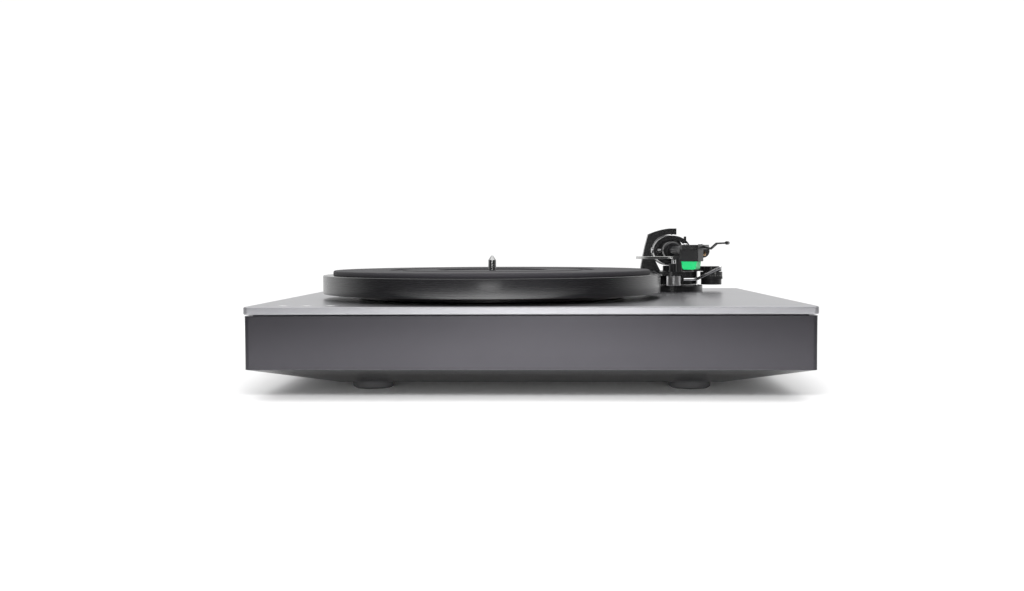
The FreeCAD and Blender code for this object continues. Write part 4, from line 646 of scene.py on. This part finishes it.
low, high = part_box("platter")
rim = (high.x - low.x) / 2
bore = mm(4.075)
enamel = turned_finish("platter_enamel", (0.006, 0.0058, 0.0066), 0.0, 0.27, platter_centre, (0, 0, 1),
                       mm(0.35), mm(0.004), spread=0.04, Coat_Weight=0.35, Coat_Roughness=0.16)
cut, hub, recess = mm(0.6), mm(39.3), mm(108)
recess_high = low.z + mm(8)
platter_profile = [
    (bore, low.z), (hub, low.z), (hub, recess_high), (recess, recess_high), (recess, low.z),
    *rounding(rim - cut, low.z + cut, cut, -1, 0), *rounding(rim - cut, high.z - cut, cut, 0, 1),
    (bore, high.z)]
settle(lathe("platter_disc", platter_centre, (0, 0, 1), platter_profile, 288, enamel), "platter_body",
       "platter_metal", "platter")

mat_low, mat_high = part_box("platter_mat")
mat_rubber = finish("mat_rubber", (0.020, 0.019, 0.022), (0.07, 0.066, 0.072), 0.0, 0.62, mm(0.35),
                    mm(0.03), spread=0.08, blotch=0.06, wear=0.4, Specular_IOR_Level=0.35)
sunk = mat_high.z - mm(1.0)
mat_edge = (mat_high.x - mat_low.x) / 2
round_off, under_off, slope = mm(1.5), mm(0.4), mm(0.4)
groove_out, groove_in, label_edge = mm(92), mm(80), mm(50)
mat_profile = [(bore, mat_low.z), *rounding(mat_edge - under_off, mat_low.z + under_off, under_off, -1, 0),
               *rounding(mat_edge - round_off, mat_high.z - round_off, round_off, 0, 1, 8)]
mat_profile += [(groove_out, mat_high.z), (groove_out - slope, sunk), (groove_in + slope, sunk),
                (groove_in, mat_high.z), (label_edge, mat_high.z), (label_edge - slope, sunk), (bore, sunk)]
settle(lathe("rubber_mat", platter_centre, (0, 0, 1), mat_profile, 240, mat_rubber), "platter_body", "mat",
       "platter_mat")
polished = turned_finish("polished_steel", (0.50, 0.50, 0.50), 1.0, 0.20, platter_centre, (0, 0, 1),
                         mm(0.1), mm(0.002), spread=0.06)
paint(polished, "spindle")

# ---------------------------------------------------------------- tonearm base
# The black collar is screwed to the plate and holds the pillar inside the drum of the arm platform.
# Platform, yoke and gimbal ring are zinc castings in gloss black stove enamel.

collar_centre = middle_of("arm_pillar")
collar_centre.z = 0.0
collar_black = turned_finish("collar_black", (0.009, 0.009, 0.010), 0.0, 0.3, collar_centre, (0, 0, 1),
                             mm(0.3), mm(0.012), Coat_Weight=0.3, Coat_Roughness=0.2)
paint(collar_black, "arm_collar")
chrome = turned_finish("pillar_chrome", (0.80, 0.80, 0.81), 1.0, 0.10, collar_centre, (0, 0, 1), mm(0.2),
                       mm(0.003), spread=0.06)
paint(chrome, "arm_pillar")
bright = finish("bright_chrome", (0.80, 0.80, 0.81), (0.9, 0.9, 0.9), 1.0, 0.12, mm(0.5), mm(0.003))
paint(zinc, "pillar_nut")
arm_enamel = finish("arm_enamel", (0.005, 0.005, 0.0056), (0.07, 0.07, 0.075), 0.0, 0.22, mm(0.5), mm(0.012),
                    spread=0.1, blotch=0.02, wear=0.5, Coat_Weight=0.4, Coat_Roughness=0.12)
collar_head = mm(2.4)
screw_set("collar_fixings", "collar_screws",
          [((low.x + high.x) / 2, (low.y + high.y) / 2, high.z - collar_head)
           for low, high in solids_of("collar_screws")],
          {"Head Radius": mm(2.6), "Head Height": collar_head, "Recess Radius": mm(1.4),
           "Recess Depth": mm(1.4),
           "Hexagon": True, "Shank Radius": mm(1.5), "Shank Length": mm(9.4), "Seed": 11},
          "root", "chrome", bright)
softened("arm_base_casting", "arm_platform", arm_enamel, mm(0.5), "root", "arm_black")
softened("yoke_casting", "bearing_yoke", arm_enamel, mm(0.7), "root", "arm_black")
softened("rest_saddle", "arm_rest", moulding, mm(0.4), "root", "moulding")
softened("gimbal_casting", "gimbal_ring", arm_enamel, mm(0.45), "gimbal", "arm_black")
paint(bright, "upper_pivot_screw", "side_pivot_screws", "lift_plunger")
satin_black = finish("satin_black", (0.008, 0.008, 0.009), (0.07, 0.07, 0.07), 0.0, 0.34, mm(0.4), mm(0.01),
                     wear=0.4)
satin_chrome = turned_finish("satin_chrome", (0.80, 0.80, 0.80), 1.0, 0.33, middle_of("lift_plunger"),
                             (0, 0, 1), mm(0.2), mm(0.004), spread=0.08)
lift_centre = middle_of("lift_plunger")
lift_centre.z = 0.0
lift_low, lift_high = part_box("lift_housing")
lift_bore, lift_sleeve, lift_foot = mm(2.05), mm(4.5), (lift_high.x - lift_low.x) / 2
foot_high = lift_low.z + mm(10)
foot_round, sleeve_round = mm(0.5), mm(0.4)
foot_profile = [
    (lift_bore, lift_low.z), *rounding(lift_foot - foot_round, lift_low.z + foot_round, foot_round, -1, 0),
    *rounding(lift_foot - foot_round, foot_high - foot_round, foot_round, 0, 1), (lift_bore, foot_high)]
settle(lathe("lift_foot", lift_centre, (0, 0, 1), foot_profile, 96, satin_chrome), "root", "chrome",
       "lift_housing")
sleeve_profile = [
    (lift_bore, foot_high), (lift_sleeve, foot_high),
    *rounding(lift_sleeve - sleeve_round, lift_high.z - sleeve_round, sleeve_round, 0, 1),
    (lift_bore, lift_high.z)]
settle(lathe("lift_sleeve", lift_centre, (0, 0, 1), sleeve_profile, 72, satin_black), "root", "arm_black")

# ---------------------------------------------------------------- arm lift and anti-skating
# The chromed cue lever turns a cam that lets the curved, satin aluminium lift bar down. The round
# anti-skating unit hangs under the platform's wing, with a ribbed dial marked in even steps.

lift_metal = finish("lift_bar_metal", (0.58, 0.58, 0.57), (0.8, 0.8, 0.8), 1.0, 0.26, mm(0.3), mm(0.008),
                    wear=0.6)
softened("lift_arc", "lift_bar", lift_metal, mm(0.35), "lifter", "silver")
paint(bright, "cue_lever")

dial_moulding = finish("dial_moulding", (0.009, 0.009, 0.0096), (0.05, 0.05, 0.05), 0.0, 0.38, mm(0.4),
                       mm(0.02))
mark_white = finish("mark_white", (0.62, 0.62, 0.60), (0.7, 0.7, 0.7), 0.0, 0.5, mm(0.3), mm(0.005))
paint(satin_black, "antiskate_housing")
paint(dial_moulding, "antiskate_dial")


def numbers_around(name, labels, centre, axis, radius, sweep, size, along, body, slot):
    """Raised figures on a dial's rim, evenly spaced, each facing straight out from the axis."""
    upright = Matrix.Rotation(math.pi / 2, 4, "Y") @ Matrix.Rotation(math.pi / 2, 4, "Z")
    shape = bmesh.new()
    for index, label in enumerate(labels):
        curve = bpy.data.curves.new(name, "FONT")
        curve.body, curve.size, curve.extrude = label, size, mm(0.04)
        curve.align_x, curve.align_y = "CENTER", "CENTER"
        curve.resolution_u = 3
        text = bpy.data.objects.new(name, curve)
        mesh = bpy.data.meshes.new_from_object(text)
        bpy.data.objects.remove(text)
        mesh.transform(about(centre, axis) @ Matrix.Rotation(sweep * index / len(labels), 4, "Z")
                       @ Matrix.Translation((radius, 0, along)) @ upright)
        shape.from_mesh(mesh)
    return settle(as_object(name, shape, mark_white), body, slot)


skate_low, skate_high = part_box("antiskate_dial")
skate_middle = (skate_low + skate_high) / 2
skate_radius = (skate_high.x - skate_low.x) / 2
skate_marks, marks_per_turn, sunk_in = 21, 28, mm(0.02)
ring_of_bars("antiskate_ribs", {"Count": 72, "Radius": skate_radius - mm(0.1), "Across": mm(0.45),
                                "Proud": mm(0.5), "Along": mm(2.4)},
             about(skate_middle - mm(0, 0, 2.3), (0, 0, 1)), dial_moulding, "bias_ring", "moulding")
ring_of_bars("antiskate_marks", {"Count": skate_marks, "Radius": skate_radius - sunk_in,
                                 "Sweep": math.tau * skate_marks / marks_per_turn, "Across": mm(0.25),
                                 "Proud": mm(0.12), "Along": mm(1.3), "Long Every": 4, "Short Share": 0.55},
             about(skate_middle - mm(0, 0, 0.2), (0, 0, 1)), mark_white, "bias_ring", "moulding")
numbers_around("antiskate_figures", "01234", skate_middle, (0, 0, 1), skate_radius - sunk_in,
               math.tau * (skate_marks - 1) / marks_per_turn, mm(2.2), mm(2.0), "bias_ring", "moulding")

# ---------------------------------------------------------------- tonearm
# A straight aluminium tube, anodised satin black, with its bearing block behind. The ring-turned
# counterweight with a knurled band runs on a stub, and the tracking force dial turns in front of it.

tilt = joints["arm_lift"]
across_arm = -Vector(tilt["axis"])
behind_arm = Vector((0, 0, 1)).cross(across_arm)
pivot = Vector((collar_centre.x, collar_centre.y, middle_of("side_pivot_screws").z))
tube_black = turned_finish("tube_anodising", (0.018, 0.018, 0.020), 0.35, 0.28, pivot, behind_arm, mm(0.5),
                           mm(0.006), spread=0.1)
paint(tube_black, "arm_tube")
block_black = turned_finish("block_enamel", (0.008, 0.008, 0.009), 0.0, 0.30, pivot, behind_arm, mm(0.4),
                            mm(0.01), Coat_Weight=0.3, Coat_Roughness=0.18)
paint(block_black, "bearing_block", "counterweight_stub")


def reach_of(node):
    """How far a node of the arm stretches behind the pivot: nearest and farthest."""
    along = [behind_arm.dot(vertex.co - pivot) for vertex in nodes[node].data.vertices]
    return min(along), max(along)


front, back = reach_of("counterweight")
weight_radius, weight_bore = mm(15.7), mm(4.03)
weight_black = turned_finish("weight_plating", (0.022, 0.022, 0.024), 0.6, 0.26, pivot, behind_arm, mm(0.25),
                             mm(0.008), spread=0.1)
band_front, band_back = front + mm(5.0), back - mm(5.0)
band_radius, socket, edge_cut, edge_lip = weight_radius - mm(0.7), mm(13.0), mm(1.0), mm(0.3)
ring_out, ring_in, ring_deep = mm(11.0), mm(5.8), mm(0.6)
weight_profile = [
    (weight_bore, back - mm(4.0)), (socket, back - mm(4.0)), (socket, front),
    (weight_radius - edge_cut, front), (weight_radius - edge_lip, front + edge_lip),
    (weight_radius, front + edge_cut), (weight_radius, band_front - mm(1.0)),
    (band_radius, band_front - mm(0.6)), (band_radius, band_back + mm(0.6)),
    (weight_radius, band_back + mm(1.0)), (weight_radius, back - edge_cut),
    (weight_radius - edge_lip, back - edge_lip), (weight_radius - edge_cut, back),
    (ring_out, back), (ring_out - ring_deep, back - ring_deep), (ring_in + ring_deep, back - ring_deep),
    (ring_in, back), (weight_bore, back)]
settle(lathe("turned_counterweight", pivot, behind_arm, weight_profile, 144, weight_black), "weight",
       "weight_metal", "counterweight")
ring_of_bars("counterweight_knurling", {"Count": 132, "Radius": weight_radius - mm(0.62), "Across": mm(0.42),
                                        "Proud": mm(0.42), "Along": band_back - band_front,
                                        "Twist": math.pi / 4},
             about(pivot + behind_arm * (band_front + band_back) / 2, behind_arm), weight_black, "weight",
             "weight_metal")

dial_front, dial_back = reach_of("force_dial")
dial_radius, dial_bore = mm(12.5), mm(4.1)
dish_deep, dial_lip = mm(0.5), mm(0.3)
dial_profile = [
    (dial_bore, dial_front), (mm(8.0), dial_front), (mm(8.6), dial_front + dish_deep),
    (mm(11.2), dial_front + dish_deep), (mm(11.6), dial_front), (dial_radius - dial_lip, dial_front),
    (dial_radius, dial_front + dial_lip), (dial_radius, dial_back), (dial_bore, dial_back)]
settle(lathe("tracking_force_dial", pivot, behind_arm, dial_profile, 120, dial_moulding), "weight_dial",
       "dial", "force_dial")
ring_of_bars("force_marks", {"Count": 40, "Radius": dial_radius - sunk_in, "Across": mm(0.22),
                             "Proud": mm(0.12), "Along": mm(1.3), "Long Every": 5, "Short Share": 0.6},
             about(pivot + behind_arm * (dial_back - mm(0.9)), behind_arm), mark_white, "weight_dial", "dial")
numbers_around("force_figures", ("0", ".5", "1", "1.5", "2", "2.5", "3", "3.5"), pivot, behind_arm,
               dial_radius - sunk_in, math.tau, mm(2.2), dial_front + mm(1.6), "weight_dial", "dial")

# ---------------------------------------------------------------- headshell and cartridge
# The headshell is a flat pressed plate with a bent finger lift. Two screws hold the moulded
# cartridge; its green stylus body pushes on from the front, and four thin leads run to the tube.

tube_end, shell_turn = mm(214.7), math.radians(26.94)
socket_place = pivot - behind_arm * tube_end
shell_black = finish("shell_enamel", (0.003, 0.003, 0.0034), (0.07, 0.07, 0.07), 0.1, 0.30, mm(0.35),
                     mm(0.012), wear=0.6)
softened("flat_headshell", "headshell", shell_black, mm(0.4), "arm", "arm_black")
softened("bent_finger_lift", "finger_lift", shell_black, mm(0.35), "arm", "arm_black")
cartridge_black = finish("cartridge_black", (0.004, 0.004, 0.0044), (0.04, 0.04, 0.04), 0.0, 0.34, mm(0.3),
                         mm(0.01), Specular_IOR_Level=0.35)
softened("cartridge_case", "cartridge_body", cartridge_black, mm(0.35), "arm", "moulding")
stylus_green = finish("stylus_green", (0.0, 0.30, 0.085), (0.02, 0.6, 0.2), 0.0, 0.32, mm(0.3), mm(0.006),
                      IOR=1.52)
softened("green_stylus_body", "stylus_body", stylus_green, mm(0.3), "arm", "green")
cantilever_metal = finish("cantilever_metal", (0.75, 0.74, 0.70), (0.8, 0.8, 0.8), 1.0, 0.25, mm(0.2),
                          mm(0.002))
paint(cantilever_metal, "stylus_cantilever")
cartridge_head = mm(1.1)
screw_set("cartridge_fixings", "cartridge_screws",
          [((low.x + high.x) / 2, (low.y + high.y) / 2, high.z - cartridge_head)
           for low, high in solids_of("cartridge_screws")],
          {"Head Radius": mm(1.9), "Head Height": cartridge_head, "Recess Radius": mm(1.0),
           "Recess Depth": mm(0.7),
           "Hexagon": True, "Shank Radius": mm(1.25), "Shank Length": mm(7.5), "Seed": 13},
          "arm", "chrome", bright)

shell_along = Matrix.Rotation(-shell_turn, 3, "Z") @ behind_arm
shell_across = Matrix.Rotation(-shell_turn, 3, "Z") @ across_arm
cartridge_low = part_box("cartridge_body")[0].z
cartridge_rear = mm(-16.5)


def lead(name, side, rise, colour):
    """One insulated lead: a tight crimp on the cartridge pin, a loop outwards and up into the tube."""
    scuffed = tuple(min(1.0, part * 1.3 + 0.02) for part in colour)
    insulation = finish(name + "_insulation", colour, scuffed, 0.0, 0.38, mm(0.3), mm(0.004))
    curve = bpy.data.curves.new(name, "CURVE")
    curve.dimensions = "3D"
    curve.bevel_depth, curve.bevel_resolution, curve.use_fill_caps = mm(0.45), 4, True
    curve.resolution_u = 10
    path = curve.splines.new("BEZIER")
    route = [(2.6 * side, 0.0, 3.2 + 2.6 * rise), (2.6 * side, 3.0, 3.2 + 2.6 * rise),
             (2.9 * side + 1.2, 6.4, 2.0 + 2.6 * rise), (2.2 * side + 1.4, 9.8, 3.8 + 2.2 * rise),
             (1.3 * side + 0.8, 12.6, 5.8 + 1.5 * rise)]
    path.bezier_points.add(len(route) - 1)
    for point, (x, y, z) in zip(path.bezier_points, route):
        point.co = (socket_place + shell_across * mm(x) + shell_along * (cartridge_rear + mm(y)))
        point.co.z = cartridge_low + mm(z)
        point.handle_left_type = point.handle_right_type = "AUTO"
    holder = bpy.data.objects.new(name, curve)
    mesh = bpy.data.meshes.new_from_object(holder)
    bpy.data.objects.remove(holder)
    mesh.materials.append(insulation)
    piece = link(bpy.data.objects.new(name, mesh))
    settle(piece, "arm", "lead", "cartridge_leads")
    start = socket_place + shell_across * mm(2.6 * side) + shell_along * (cartridge_rear + mm(0.1))
    start.z = cartridge_low + mm(3.2 + 2.6 * rise)
    crimp = [(mm(0.2), 0.0), (mm(0.62), 0.0), (mm(0.66), mm(0.3)), (mm(0.66), mm(2.2)), (mm(0.5), mm(2.6)),
             (mm(0.2), mm(2.6))]
    settle(lathe(name + "_clip", start, shell_along, crimp, 24, gold), "arm", "gold")


lead("white_lead", -1.5, 0, (0.72, 0.72, 0.70))
lead("blue_lead", -0.5, 1, (0.10, 0.22, 0.42))
lead("red_lead", 0.5, 0, (0.38, 0.03, 0.03))
lead("tan_lead", 1.5, 1, (0.42, 0.26, 0.12))
